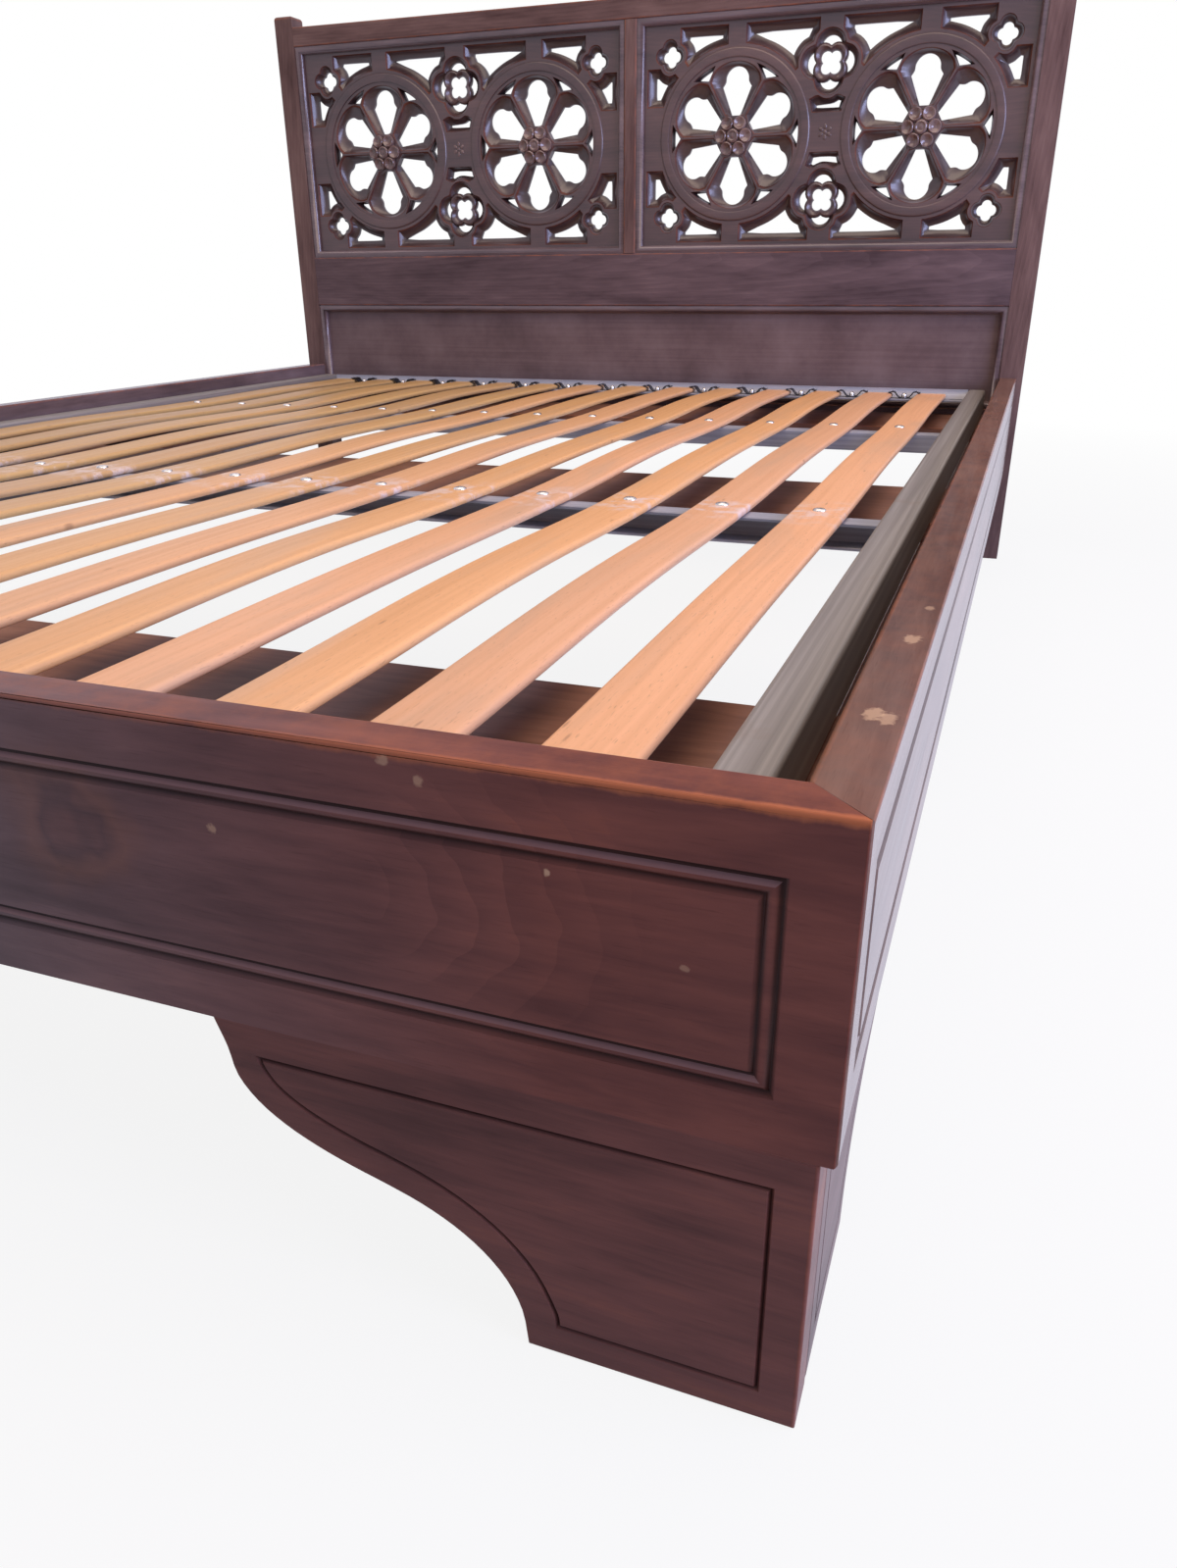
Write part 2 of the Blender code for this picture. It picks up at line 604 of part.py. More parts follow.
def make_stile(head):
    """Centre stile between the two tracery panels, tenoned into the rails."""
    half = STILE_WIDTH / 2
    bottom = MIDDLE_RAIL_TOP + GAP
    top = TOP_RAIL_BOTTOM - GAP
    body = ((-half, 0), (half, RAIL_DEPTH))
    tenon = stile_tenon()
    tip = TENON_LENGTH
    sections = [(bottom - tip, *tenon), (bottom, *tenon), (bottom, *body), (top, *body), (top, *tenon),
                (top + tip, *tenon)]
    shape = bmesh.new()
    add_stepped_bar(shape, "Z", sections)
    return put("headboard_centre_stile", shape, MATERIALS["stained_wood"], head)


def cut_stile_mortises(rails, head):
    """Mortises in the top and middle rail for the centre stile."""
    near, far = stile_tenon()
    levels = {"headboard_top_rail": TOP_RAIL_BOTTOM, "headboard_middle_rail": MIDDLE_RAIL_TOP}
    for name, level in levels.items():
        shape = bmesh.new()
        reach = TENON_LENGTH + GAP
        grown_box(shape, (*near, level - reach), (*far, level + reach), GAP)
        cut(rails[name], put_cutter(f"{name}_stile_cutter", shape, head))


def cut_panel_grooves(members, head):
    """Grooves round the openings, in which the panels' edges lie."""
    depth = GROOVE_DEPTH
    shape = bmesh.new()
    for side in SIDES.values():
        x = side * OPENING_X
        half = OPENING_WIDTH / 2 + depth
        low = (x - half, TONGUE_FRONT - GAP, MIDDLE_RAIL_TOP - depth)
        add_box(shape, low, (x + half, TONGUE_FRONT + TONGUE_THICKNESS + GAP, TOP_RAIL_BOTTOM + depth))
    tracery = put_cutter("tracery_groove_cutter", shape, head)
    shape = bmesh.new()
    half = POST_INNER + depth
    low = (-half, LOWER_PANEL_RECESS - GAP, BOTTOM_RAIL_TOP - depth)
    back = LOWER_PANEL_RECESS + LOWER_PANEL_THICKNESS + GAP
    add_box(shape, low, (half, back, MIDDLE_RAIL_BOTTOM + depth))
    lower = put_cutter("lower_groove_cutter", shape, head)
    for name, member in members.items():
        if name != "headboard_bottom_rail":
            cut(member, tracery)
        if name not in ("headboard_top_rail", "stile"):
            cut(member, lower)


def panel_bead(width, height, depth):
    """Returns a planted bead moulding with a quirk outside and a slope inside."""
    quirk = PANEL_BEAD_QUIRK
    crown = PANEL_BEAD_WIDTH - 2 * quirk
    start, stop, slope = [quirk + crown * share for share in PANEL_BEAD_CROWN]
    profile = [(GAP, depth), (GAP, quirk), (quirk, quirk), (start, quirk / 4), (stop, quirk / 4),
               (slope, quirk), (PANEL_BEAD_WIDTH, depth * PANEL_BEAD_FOOT), (PANEL_BEAD_WIDTH, depth)]
    shape = bmesh.new()
    add_mitred_frame(shape, width, height, profile)
    return shape


def make_lower_panel(head):
    """Plain lower panel in the grooves, with its bead."""
    half = POST_INNER + GROOVE_DEPTH - GAP
    low = (-half, LOWER_PANEL_RECESS, BOTTOM_RAIL_TOP - GROOVE_DEPTH + GAP)
    high = (half, LOWER_PANEL_RECESS + LOWER_PANEL_THICKNESS, MIDDLE_RAIL_BOTTOM + GROOVE_DEPTH - GAP)
    put_box("headboard_lower_panel", low, high, MATERIALS["panel_wood"], head)
    bead = panel_bead(2 * POST_INNER, LOWER_HEIGHT, LOWER_PANEL_RECESS - GAP)
    put("lower_panel_bead", bead, MATERIALS["stained_wood"], head, (0, 0, LOWER_Z))


# Tracery. Outlines are counter-clockwise, round the middle of a panel, with Z as the second coordinate.
# They have the size that they are drawn for, until tracery_holes fits them to the panel.

def mirrored(points, x_sign, z_sign):
    """Mirrors an outline and keeps it counter-clockwise."""
    flipped = [Vector((p.x * x_sign, p.y * z_sign)) for p in points]
    return flipped if x_sign * z_sign > 0 else list(reversed(flipped))


def cusp_angle(offset, radius):
    """Returns the angle on a lobe, from its axis to the cusp where it meets the next lobe."""
    reach = (offset + math.sqrt(2 * radius ** 2 - offset ** 2)) / 2
    return math.atan2(reach, reach - offset)


def quatrefoil(centre, offset, radius):
    """Returns four lobes that meet in cusps."""
    half = cusp_angle(offset, radius)
    points = []
    for k in range(4):
        axis = k * math.pi / 2
        lobe = (centre[0] + offset * math.cos(axis), centre[1] + offset * math.sin(axis))
        points += arc(lobe, radius, axis - half, axis + half, LOBE_STEPS)[:-1]
    return points


def turned_outline(points, centre, angle):
    """Turns an outline drawn along +X and moves it to a wheel's centre."""
    spin = Matrix.Rotation(angle, 2)
    return [spin @ p + Vector(centre) for p in points]


def petal_outlines():
    """Returns a petal's front outline, along the spokes' ridges, and its pierced outline further back."""
    tangent = math.tan(SPOKE_ANGLE / 2)
    widen = 1 / math.cos(SPOKE_ANGLE / 2)

    def between_spokes(u, spoke):
        return Vector((u, u * tangent - spoke / 2 * widen))

    def halves(side):
        return [Vector((p.x, -p.y)) for p in side] + [Vector((p.x, p.y)) for p in reversed(side)]

    spring = RIM_INNER - ARCH_SPRING
    shoulder = RIM_INNER - PETAL_SHOULDER
    cusp = RIM_INNER - PETAL_CUSP
    front_spring = between_spokes(spring, SPOKE_RIDGE)
    half_way = (HUB_RADIUS + spring) / 2
    front = [between_spokes(HUB_RADIUS, SPOKE_RIDGE), between_spokes(half_way, SPOKE_RIDGE)]
    back = [between_spokes(HUB_RADIUS, SPOKE_ROOT), between_spokes(shoulder, SPOKE_SHOULDER)]
    back[0].y = max(back[0].y, SPOKE_RIDGE)
    rise = RIM_INNER - ARCH_CROWN - spring
    crown = RIM_INNER - PETAL_CROWN - cusp
    radius = (crown ** 2 + PETAL_CUSP_HALF ** 2) / (2 * crown)
    middle = cusp + crown - radius
    sweep = math.atan2(PETAL_CUSP_HALF, cusp - middle)
    arch = [Vector((spring + rise * math.sin(t), -front_spring.y * math.cos(t)))
            for t in (math.pi * k / ARCH_STEPS for k in range(ARCH_STEPS + 1))]
    head = arc((middle, 0), radius, -sweep, sweep, ARCH_STEPS)
    front_side = halves(front)
    back_side = halves(back)
    return front_side[:2] + arch + front_side[2:], back_side[:2] + head + back_side[2:]


def eye_outlines():
    """Returns the pierced triangle at a spoke's end, in front and further back."""
    outer = arc((0, 0), RIM_INNER - GAP, -EYE_SPREAD, EYE_SPREAD, 3)
    front = [Vector((RIM_INNER - EYE_DEPTH, 0))] + outer
    return front, inset_outline(front, EYE_CHAMFER)


def spandrel_outlines():
    """Returns the pierced fields between wheels, quatrefoils and border in the upper right quarter."""
    edge = DRAWN_WHEEL + GAP
    wheel = (DRAWN_WHEEL_X, 0)
    tab = math.acos(TAB_WIDTH / 2 / edge)
    large = LARGE_LOBE + FOIL_RIM
    small = SMALL_LOBE + FOIL_RIM
    foil_z = large_foil_height()
    right_lobe = (LARGE_LOBE_OFFSET, foil_z)
    cusp = cusp_angle(LARGE_LOBE_OFFSET, large)
    high = arc((0, foil_z + LARGE_LOBE_OFFSET), large, HIGH_LOBE_START, math.pi / 2 - cusp, 2)
    low = arc(right_lobe, large, cusp, RIGHT_LOBE_STOP, 4)
    toward = math.atan2(low[-1].y, low[-1].x - DRAWN_WHEEL_X)
    centre = [Vector((DRAWN_WHEEL_X - TAB_WIDTH / 2, DRAWN_FIELD_Z)), Vector((high[0].x, DRAWN_FIELD_Z))]
    centre += high + low[1:] + arc(wheel, edge, toward, math.pi - tab, 5)
    foil = small_foil_place()
    left_lobe = (foil[0] - SMALL_LOBE_OFFSET, foil[1])
    side = arc(left_lobe, small, *CORNER_SIDE_LOBE, 3)
    toward = math.atan2(side[0].y, side[0].x - DRAWN_WHEEL_X)
    upper = [Vector((side[-1].x, DRAWN_FIELD_Z)), Vector((DRAWN_WHEEL_X + TAB_WIDTH / 2, DRAWN_FIELD_Z))]
    upper += arc(wheel, edge, tab, toward, 4) + side
    under_lobe = (foil[0], foil[1] - SMALL_LOBE_OFFSET)
    under = arc(under_lobe, small, *CORNER_UNDER_LOBE, 3)
    toward = math.atan2(under[-1].y, under[-1].x - DRAWN_WHEEL_X)
    block = math.asin(SIDE_BLOCK_HEIGHT / 2 / edge)
    outer = [Vector((DRAWN_FIELD_X, under[0].y))] + under + arc(wheel, edge, toward, block, 3)
    outer.append(Vector((DRAWN_FIELD_X, SIDE_BLOCK_HEIGHT / 2)))
    return [centre, upper, outer]


def bridge_outline():
    """Returns the small pierced field between the bridge and the upper large quatrefoil."""
    edge = DRAWN_WHEEL + GAP
    lobe = (0, large_foil_height() - LARGE_LOBE_OFFSET)
    top = arc(lobe, LARGE_LOBE + FOIL_RIM, *BRIDGE_LOBE, 3)
    toward = math.atan2(top[0].y, top[0].x - DRAWN_WHEEL_X)
    low = math.pi - math.asin(BRIDGE_HEIGHT / 2 / edge)
    right = arc((DRAWN_WHEEL_X, 0), edge, low, toward, 2)
    left = [Vector((-p.x, p.y)) for p in reversed(right)]
    return top + left + right


def large_foil_height():
    """Returns the height of the large quatrefoils, whose rims touch the border."""
    return DRAWN_FIELD_Z - LARGE_LOBE_OFFSET - LARGE_LOBE - FOIL_RIM


def small_foil_place():
    """Returns the place of a corner quatrefoil, whose rim touches the border."""
    reach = SMALL_LOBE_OFFSET + SMALL_LOBE + FOIL_RIM
    return DRAWN_FIELD_X - reach, DRAWN_FIELD_Z - reach


def tracery_holes():
    """Returns the front and back outlines of all that is pierced in a panel."""
    holes = []
    petal = petal_outlines()
    eye = eye_outlines()
    for x in (-DRAWN_WHEEL_X, DRAWN_WHEEL_X):
        for k in range(SPOKE_COUNT):
            spoke = k * SPOKE_ANGLE
            holes.append([turned_outline(points, (x, 0), spoke + SPOKE_ANGLE / 2) for points in petal])
            holes.append([turned_outline(points, (x, 0), spoke) for points in eye])
    foil_x, foil_z = small_foil_place()
    for z_sign in (-1, 1):
        bridge_field = mirrored(bridge_outline(), 1, z_sign)
        holes.append([bridge_field, inset_outline(bridge_field, CHAMFER)])
        centre = (0, z_sign * large_foil_height())
        sizes = (LARGE_LOBE, LARGE_LOBE - LARGE_LOBE_SLOPE)
        holes.append([quatrefoil(centre, LARGE_LOBE_OFFSET, radius) for radius in sizes])
        for x_sign in (-1, 1):
            centre = (x_sign * foil_x, z_sign * foil_z)
            sizes = (SMALL_LOBE, SMALL_LOBE - SMALL_LOBE_SLOPE)
            holes.append([quatrefoil(centre, SMALL_LOBE_OFFSET, radius) for radius in sizes])
            for field in spandrel_outlines():
                front = mirrored(field, x_sign, z_sign)
                holes.append([front, inset_outline(front, CHAMFER)])
    return [[[p * PATTERN_SCALE for p in outline] for outline in hole] for hole in holes]


def pierced_panel():
    """Returns a tracery panel: pierced through, sloped in front, with a tongue round its edge."""
    shape = bmesh.new()
    back = TRACERY_THICKNESS
    tongue = (TRACERY_THICKNESS - TONGUE_THICKNESS) / 2
    x = OPENING_WIDTH / 2 - GAP
    z = OPENING_HEIGHT / 2 - GAP
    lap = GROOVE_DEPTH
    inner = back - tongue
    edge_profile = [(0, 0), (0, tongue), (lap, tongue), (lap, inner), (0, inner), (0, back)]

    def ring(points, depth):
        return [shape.verts.new((p[0], depth, p[1])) for p in points]

    edges = [ring([(u * (x + out), v * (z + out)) for u, v in CORNERS], depth)
             for out, depth in edge_profile]
    for first, second in zip(edges, edges[1:]):
        bridge(shape, first, second)
    fronts = [edges[0]]
    backs = [edges[-1]]
    for front, pierced in tracery_holes():
        rings = [ring(front, 0), ring(pierced, CHAMFER_DEPTH), ring(pierced, back)]
        bridge(shape, rings[0], rings[1])
        bridge(shape, rings[1], rings[2])
        fronts.append(rings[0])
        backs.append(rings[2])
    for loops in (fronts, backs):
        outline = [shape.edges.get((v, loop[k - 1])) for loop in loops for k, v in enumerate(loop)]
        bmesh.ops.triangle_fill(shape, use_beauty=True, edges=outline)
    return shape


def make_tracery(head):
    """Pierced panels with their beads, and a rosette on each wheel."""
    for name, side in SIDES.items():
        place = (side * OPENING_X, TRACERY_RECESS, OPENING_Z)
        put(f"{name}_tracery_panel", pierced_panel(), MATERIALS["stained_wood"], head, place)
        bead = panel_bead(OPENING_WIDTH, OPENING_HEIGHT, TRACERY_RECESS - GAP)
        put(f"{name}_tracery_bead", bead, MATERIALS["stained_wood"], head, (place[0], 0, OPENING_Z))
        for wheel, way in {"inner": -1, "outer": 1}.items():
            centre = (side * (OPENING_X + way * WHEEL_X), TRACERY_RECESS - GAP, OPENING_Z)
            put(f"{name}_{wheel}_rosette", rosette(), MATERIALS["stained_wood"], head, centre)


def rosette():
    """Returns a rosette: domed petals round a knob, flat behind."""
    shape = bmesh.new()
    segments = len(ROSETTE_REACH)
    count = ROSETTE_PETALS * segments
    made = []
    for share, level, petal_rise in ROSETTE_RINGS:
        points = []
        for k in range(count):
            t = 2 * math.pi * k / count
            radius = PATTERN_SCALE * ROSETTE_RADIUS * share * ROSETTE_REACH[k % segments]
            rise = ROSETTE_RISE * (level + petal_rise * ROSETTE_SWELL[k % segments])
            points.append(shape.verts.new((radius * math.cos(t), -rise, radius * math.sin(t))))
        made.append(points)
    shape.faces.new(made[0])
    for first, second in zip(made, made[1:]):
        bridge(shape, first, second)
    tip = shape.verts.new((0, -ROSETTE_RISE, 0))
    for k, point in enumerate(made[-1]):
        shape.faces.new((point, made[-1][(k + 1) % count], tip))
    return shape


def make_bolts(frame):
    """Bed bolts from the back of the posts, and the barrel nuts that they draw up in the side rails."""
    seat = HEAD_FACE + POST_DEPTH - COUNTERBORE_DEPTH + GAP
    length = seat - HEAD_FACE + BOLT_GRIP
    bore = BOLT_RADIUS + BORE_PLAY
    bolt = [(BOLT_RADIUS, -length), (BOLT_RADIUS, 0), (BOLT_HEAD_RADIUS, 0),
            (BOLT_HEAD_RADIUS, BOLT_HEAD_HEIGHT)]
    nut = [(BARREL_RADIUS, -BARREL_LENGTH / 2), (BARREL_RADIUS, BARREL_LENGTH / 2)]
    hole = [(bore, -2 * BARREL_RADIUS), (bore, 2 * BARREL_RADIUS)]
    for side_name, side in SIDES.items():
        for level, height in zip(("lower", "upper"), bolt_heights()):
            name = f"{side_name}_{level}"
            shape = bmesh.new()
            add_turned(shape, bolt, ROUND_SIDES, along_y(0, 0, 0))
            put(f"{name}_bed_bolt", shape, MATERIALS["dark_steel"], frame, (side * BOLT_X, seat, height))
            place = (side * BOLT_X, HEAD_FACE - BARREL_SETBACK, height)
            shape = bmesh.new()
            add_turned(shape, nut, ROUND_SIDES, along_x(0, 0, 0, side))
            barrel = put(f"{name}_barrel_nut", shape, MATERIALS["dark_steel"], frame, place)
            shape = bmesh.new()
            add_turned(shape, hole, ROUND_SIDES, along_y(0, 0, 0))
            cut(barrel, put_cutter(f"{name}_barrel_cutter", shape, frame, place))


# Slatted base. Its own frame starts at the middle of its underside.

def make_base_rails(base):
    """Side rails of square tube."""
    outer = round_rectangle(BASE_RAIL_WIDTH, BASE_RAIL_HEIGHT, BASE_RAIL_CORNER, 3)
    inner = round_rectangle(BASE_RAIL_WIDTH - 2 * BASE_RAIL_WALL, BASE_RAIL_HEIGHT - 2 * BASE_RAIL_WALL,
                            BASE_RAIL_CORNER - BASE_RAIL_WALL, 3)
    half = BASE_LENGTH / 2
    for name, side in SIDES.items():
        shape = bmesh.new()
        rings = [[shape.verts.new((a, y, b)) for a, b in outline]
                 for outline, y in ((outer, -half), (outer, half), (inner, half), (inner, -half))]
        for k, ring in enumerate(rings):
            bridge(shape, ring, rings[(k + 1) % len(rings)])
        place = (side * (BASE_WIDTH - BASE_RAIL_WIDTH) / 2, 0, BASE_RAIL_HEIGHT / 2)
        put(f"base_{name}_rail", shape, MATERIALS["grey_steel"], base, place)


def make_end_rails(base):
    """Angle rails at the head and the foot, whose flanges carry the slat ends."""
    half = BASE_WIDTH / 2 - BASE_RAIL_WIDTH - GAP
    for name, end in {"foot": -1, "head": 1}.items():
        face = end * BASE_LENGTH / 2
        low = SLAT_BED - STEEL
        outline = [(face, low), (face, BASE_RAIL_HEIGHT), (face - end * STEEL, BASE_RAIL_HEIGHT),
                   (face - end * STEEL, SLAT_BED), (face - end * END_RAIL_FLANGE, SLAT_BED),
                   (face - end * END_RAIL_FLANGE, low)]
        shape = bmesh.new()
        add_prism(shape, outline, "X", -half, half)
        put(f"base_{name}_rail", shape, MATERIALS["grey_steel"], base)


def rivet_lines():
    """Returns the rivets' places along the base, with the way that each cross bar opens."""
    foot = -BASE_LENGTH / 2
    return {"near": (foot + NEAR_RIVET_LINE, -1), "far": (foot + FAR_RIVET_LINE, 1)}


def slat_places():
    """Returns the slats' middles across the base."""
    return [FIRST_SLAT + SLAT_PITCH * k for k in range(SLAT_COUNT)]


def make_cross_bars(base):
    """Channel bars across the base, open away from each other, to which the slats are riveted."""
    half = BASE_WIDTH / 2 - BASE_RAIL_WIDTH - GAP
    for name, (y, opens) in rivet_lines().items():
        lip = y + opens * CROSS_BAR_FLANGE / 2
        web = y - opens * CROSS_BAR_FLANGE / 2
        inner = web + opens * STEEL
        outline = [(web, 0), (lip, 0), (lip, STEEL), (inner, STEEL), (inner, CROSS_BAR_HEIGHT - STEEL),
                   (lip, CROSS_BAR_HEIGHT - STEEL), (lip, CROSS_BAR_HEIGHT), (web, CROSS_BAR_HEIGHT)]
        shape = bmesh.new()
        add_prism(shape, outline, "X", -half, half)
        put(f"{name}_cross_bar", shape, MATERIALS["grey_steel"], base)


def slat_half_length():
    """Returns half the length of a slat between the end rails' lips."""
    return BASE_LENGTH / 2 - STEEL - SLAT_END_PLAY


def make_slats(base):
    """Slats with rounded edges."""
    half = slat_half_length()
    outline = round_rectangle(SLAT_WIDTH, SLAT_THICKNESS, SLAT_EDGE, 2)
    for k, x in enumerate(slat_places()):
        shape = bmesh.new()
        add_prism(shape, outline, "Y", -half, half)
        place = (x, 0, SLAT_TOP - SLAT_THICKNESS / 2)
        put(f"slat_{k + 1:02d}", shape, MATERIALS["beech"], base, place)


def make_headboard(frame):
    """Posts, rails, stile and panels of the headboard."""
    head = put_empty("headboard", (0, HEAD_FACE, 0), frame)
    members = {name: make_rail(name, *levels, head) for name, levels in rail_levels().items()}
    members["stile"] = make_stile(head)
    cut_stile_mortises(members, head)
    members.update(make_posts(head))
    cut_panel_grooves(members, head)
    make_lower_panel(head)
    make_tracery(head)


def make_bed_frame():
    """Everything that stands on the floor."""
    frame = put_empty("bed_frame", (0, 0, 0))
    make_headboard(frame)
    make_footboard(frame)
    for name, side in SIDES.items():
        make_side_rail(name, side, frame)
        make_bracket_foot(name, side, frame)
    make_ledgers(frame)
    make_cross_boards(frame)
    make_bolts(frame)


def make_slat_base():
    """Everything that lifts out with the slats."""
    middle = FOOT_FACE + BOARD_THICKNESS + INNER_LENGTH / 2
    base = put_empty("slat_base", (BASE_X, middle, BASE_BOTTOM))
    make_base_rails(base)
    make_end_rails(base)
    make_cross_bars(base)
    make_slats(base)


for old in list(bpy.data.objects):
    bpy.data.objects.remove(old, do_unlink=True)

MATERIALS = {
    "stained_wood": finish("stained_wood", "#5A3A30", 0.4),
    "panel_wood": finish("panel_wood", "#54453F", 0.5),
    "plain_wood": finish("plain_wood", "#5B3B30", 0.6),
    "beech": finish("beech", "#D9A273", 0.5),
    "grey_steel": finish("grey_steel", "#8F8D90", 0.5, 0.3),
    "dark_steel": finish("dark_steel", "#3A3A3E", 0.45, 0.8),
    "cutter": finish("cutter", "#808080", 1.0),
}
make_bed_frame()
make_slat_base()
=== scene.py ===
# %% [markdown]
# # A double bed with a pierced headboard
#
# A dark stained bed frame holds a loose base of beech slats on grey steel. The headboard is carved: two
# panels of pierced wheels, like small church windows. The solids of the bed are already there, packed as
# a fixed frame. This lesson dresses them with worn edges, wood that has a grain, carving with depth, and
# the small fasteners.

# %% Load the frame
import bisect
import math
import random

import bmesh
import bpy
from mathutils import Euler, Matrix, Vector


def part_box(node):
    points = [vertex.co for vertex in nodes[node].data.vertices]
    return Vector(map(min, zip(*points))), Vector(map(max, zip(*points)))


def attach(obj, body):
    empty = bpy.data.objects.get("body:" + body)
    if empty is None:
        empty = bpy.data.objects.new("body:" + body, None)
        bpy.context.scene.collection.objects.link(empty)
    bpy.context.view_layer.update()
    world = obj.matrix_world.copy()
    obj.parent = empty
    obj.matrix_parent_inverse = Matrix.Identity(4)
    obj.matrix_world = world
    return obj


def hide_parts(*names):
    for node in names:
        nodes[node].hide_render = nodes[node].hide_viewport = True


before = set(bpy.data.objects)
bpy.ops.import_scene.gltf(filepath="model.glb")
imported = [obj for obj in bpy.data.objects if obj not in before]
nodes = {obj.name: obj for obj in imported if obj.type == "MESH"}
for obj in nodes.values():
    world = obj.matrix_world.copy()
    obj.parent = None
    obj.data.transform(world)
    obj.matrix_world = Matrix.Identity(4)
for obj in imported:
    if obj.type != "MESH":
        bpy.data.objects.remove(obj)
scene = bpy.context.scene
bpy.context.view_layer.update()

# %% [markdown]
# ## The camera
#
# The picture was taken from close by, just above the right front corner, with a wide lens tilted down.
# A camera could be aimed by hand until it looks right. Here its place and its three angles were worked
# out from the straight edges of the bed, so the render can be laid over the photograph.

# %% Camera
PHOTO_WIDTH = 1200
PHOTO_HEIGHT = 1599
FOCAL_PIXELS = 1148.7
SENSOR = 36.0  # millimetres along the picture's long side
EYE = Vector((0.7824, -1.3699, 0.5147))
HEADING = math.radians(20.70)
PITCH = math.radians(-24.43)
ROLL = math.radians(-0.48)

lens = bpy.data.cameras.new("photo_view")
lens.sensor_width = SENSOR
lens.lens = SENSOR * FOCAL_PIXELS / max(PHOTO_WIDTH, PHOTO_HEIGHT)
camera = bpy.data.objects.new("photo_view", lens)
tilt = Matrix.Rotation(math.pi / 2 + PITCH, 4, "X") @ Matrix.Rotation(ROLL, 4, "Z")
camera.matrix_world = Matrix.Translation(EYE) @ Matrix.Rotation(HEADING, 4, "Z") @ tilt
scene.collection.objects.link(camera)
scene.camera = camera
scene.view_settings.view_transform = "Standard"
print(f"camera {EYE.z:.2f} m up, lens {lens.lens:.1f} mm")

# %% [markdown]
# ## Nodes and colours
#
# Every finish below is a small network of nodes. Adding a node by hand takes four or five lines, so one
# function does it: it makes the node, sets its properties, and fills each input with a value or a link.
# Colours are written as hex codes, as a picture editor shows them, and turned to linear light here.

# %% Node helper and colours
def add(tree, kind, inputs=None, stops=(), **settings):
    """Adds a node. An input is a value, a socket to link from, or a node whose first output is linked."""
    made = tree.nodes.new(kind)
    for name, value in settings.items():
        setattr(made, name, value)
    for key, value in (inputs or {}).items():
        if isinstance(value, bpy.types.Node):
            value = value.outputs[0]
        if isinstance(value, bpy.types.NodeSocket):
            tree.links.new(value, made.inputs[key])
        else:
            made.inputs[key].default_value = value
    for k, (place, code) in enumerate(stops):
        ramp = made.color_ramp.elements
        stop = ramp[k] if k < 2 else ramp.new(place)
        stop.position = place
        stop.color = colour(code)
    return made


def colour(code):
    """Turns an sRGB hex colour into linear red, green and blue, with a full alpha."""
    channels = [int(code[k:k + 2], 16) / 255 for k in (1, 3, 5)]
    return [c / 12.92 if c <= 0.04045 else ((c + 0.055) / 1.055) ** 2.4 for c in channels] + [1.0]


def new_material(name):
    """Makes a material and returns it with its node tree and its shader."""
    material = bpy.data.materials.new(name)
    material.use_nodes = True
    return material, material.node_tree, material.node_tree.nodes["Principled BSDF"]


print("stain", [round(c, 3) for c in colour("#4A2A22")])

# %% [markdown]
# ## Light
#
# The room is bright and soft, with a window to the right that puts a cool sheen on the side rail and on
# the carved slopes that face it. A picture of a room could light the scene, but a plain studio shows the
# shapes better: an even, slightly cool world, one large warm softbox overhead and a cool one at the
# window's side. The camera sees the world as plain white. Polished faces mirror a slightly cool white.

# %% World
WORLD_LEVEL = 0.36
MIRRORED = "#F0EFFF"  # the room as polished faces mirror it, a little cool

world = bpy.data.worlds.new("studio")
world.use_nodes = True
scene.world = world
sky = world.node_tree


def white_rays(tree):
    """Returns a value that is 1 for mirrored rays, and one that is 1 for all rays that see full white."""
    path = add(tree, "ShaderNodeLightPath").outputs
    seen = path["Is Camera Ray"]
    for kind in ("Is Glossy Ray", "Is Transmission Ray"):
        seen = add(tree, "ShaderNodeMath", {0: seen, 1: path[kind]}, operation="MAXIMUM").outputs[0]
    return path["Is Glossy Ray"], seen


mirrored, seen = white_rays(sky)
level = add(sky, "ShaderNodeMapRange", {"Value": seen, "To Min": WORLD_LEVEL, "To Max": 1.0})
sky.links.new(level.outputs[0], sky.nodes["Background"].inputs["Strength"])
tint = add(sky, "ShaderNodeMix", {0: seen, 6: colour("#DCE1FF"), 7: colour("#FFFFFF")}, data_type="RGBA")
tint = add(sky, "ShaderNodeMix", {0: mirrored, 6: tint.outputs[2], 7: colour(MIRRORED)}, data_type="RGBA")
sky.links.new(tint.outputs[2], sky.nodes["Background"].inputs["Color"])
print("world at", WORLD_LEVEL)

# %% [markdown]
# A softbox is a large rectangular lamp. A sun lamp would be simpler, but its shadows are hard, and these are
# soft. The one overhead is warm. The one at the right is cool, and gives the carved slopes their glints.

# %% Softboxes
def softbox(name, place, target, size, watts, tint):
    """Adds a rectangular lamp that points at a target and isn't seen itself."""
    lamp = bpy.data.lights.new(name, "AREA")
    lamp.shape = "RECTANGLE"
    lamp.size, lamp.size_y = size
    lamp.energy = watts
    lamp.color = colour(tint)[:3]
    light = bpy.data.objects.new(name, lamp)
    light.location = place
    light.rotation_euler = (Vector(target) - Vector(place)).to_track_quat("-Z", "Y").to_euler()
    light.visible_camera = False
    scene.collection.objects.link(light)


softbox("overhead", (0.4, -0.2, 2.9), (0.1, 0, 0.3), (2.8, 2.8), 64, "#FFE4C8")
softbox("window", (3.2, -0.60, 1.25), (0, 0.6, 0.6), (2.7, 1.4), 128, "#BCC8FF")
print(len(bpy.data.lights), "softboxes")

# %% [markdown]
# ## The floor
#
# The bed stands on nothing but white in the picture. A floor that only glows would leave it floating, so
# this one is pale paint that takes the bed's shadow, and it fades to plain white away from the bed.

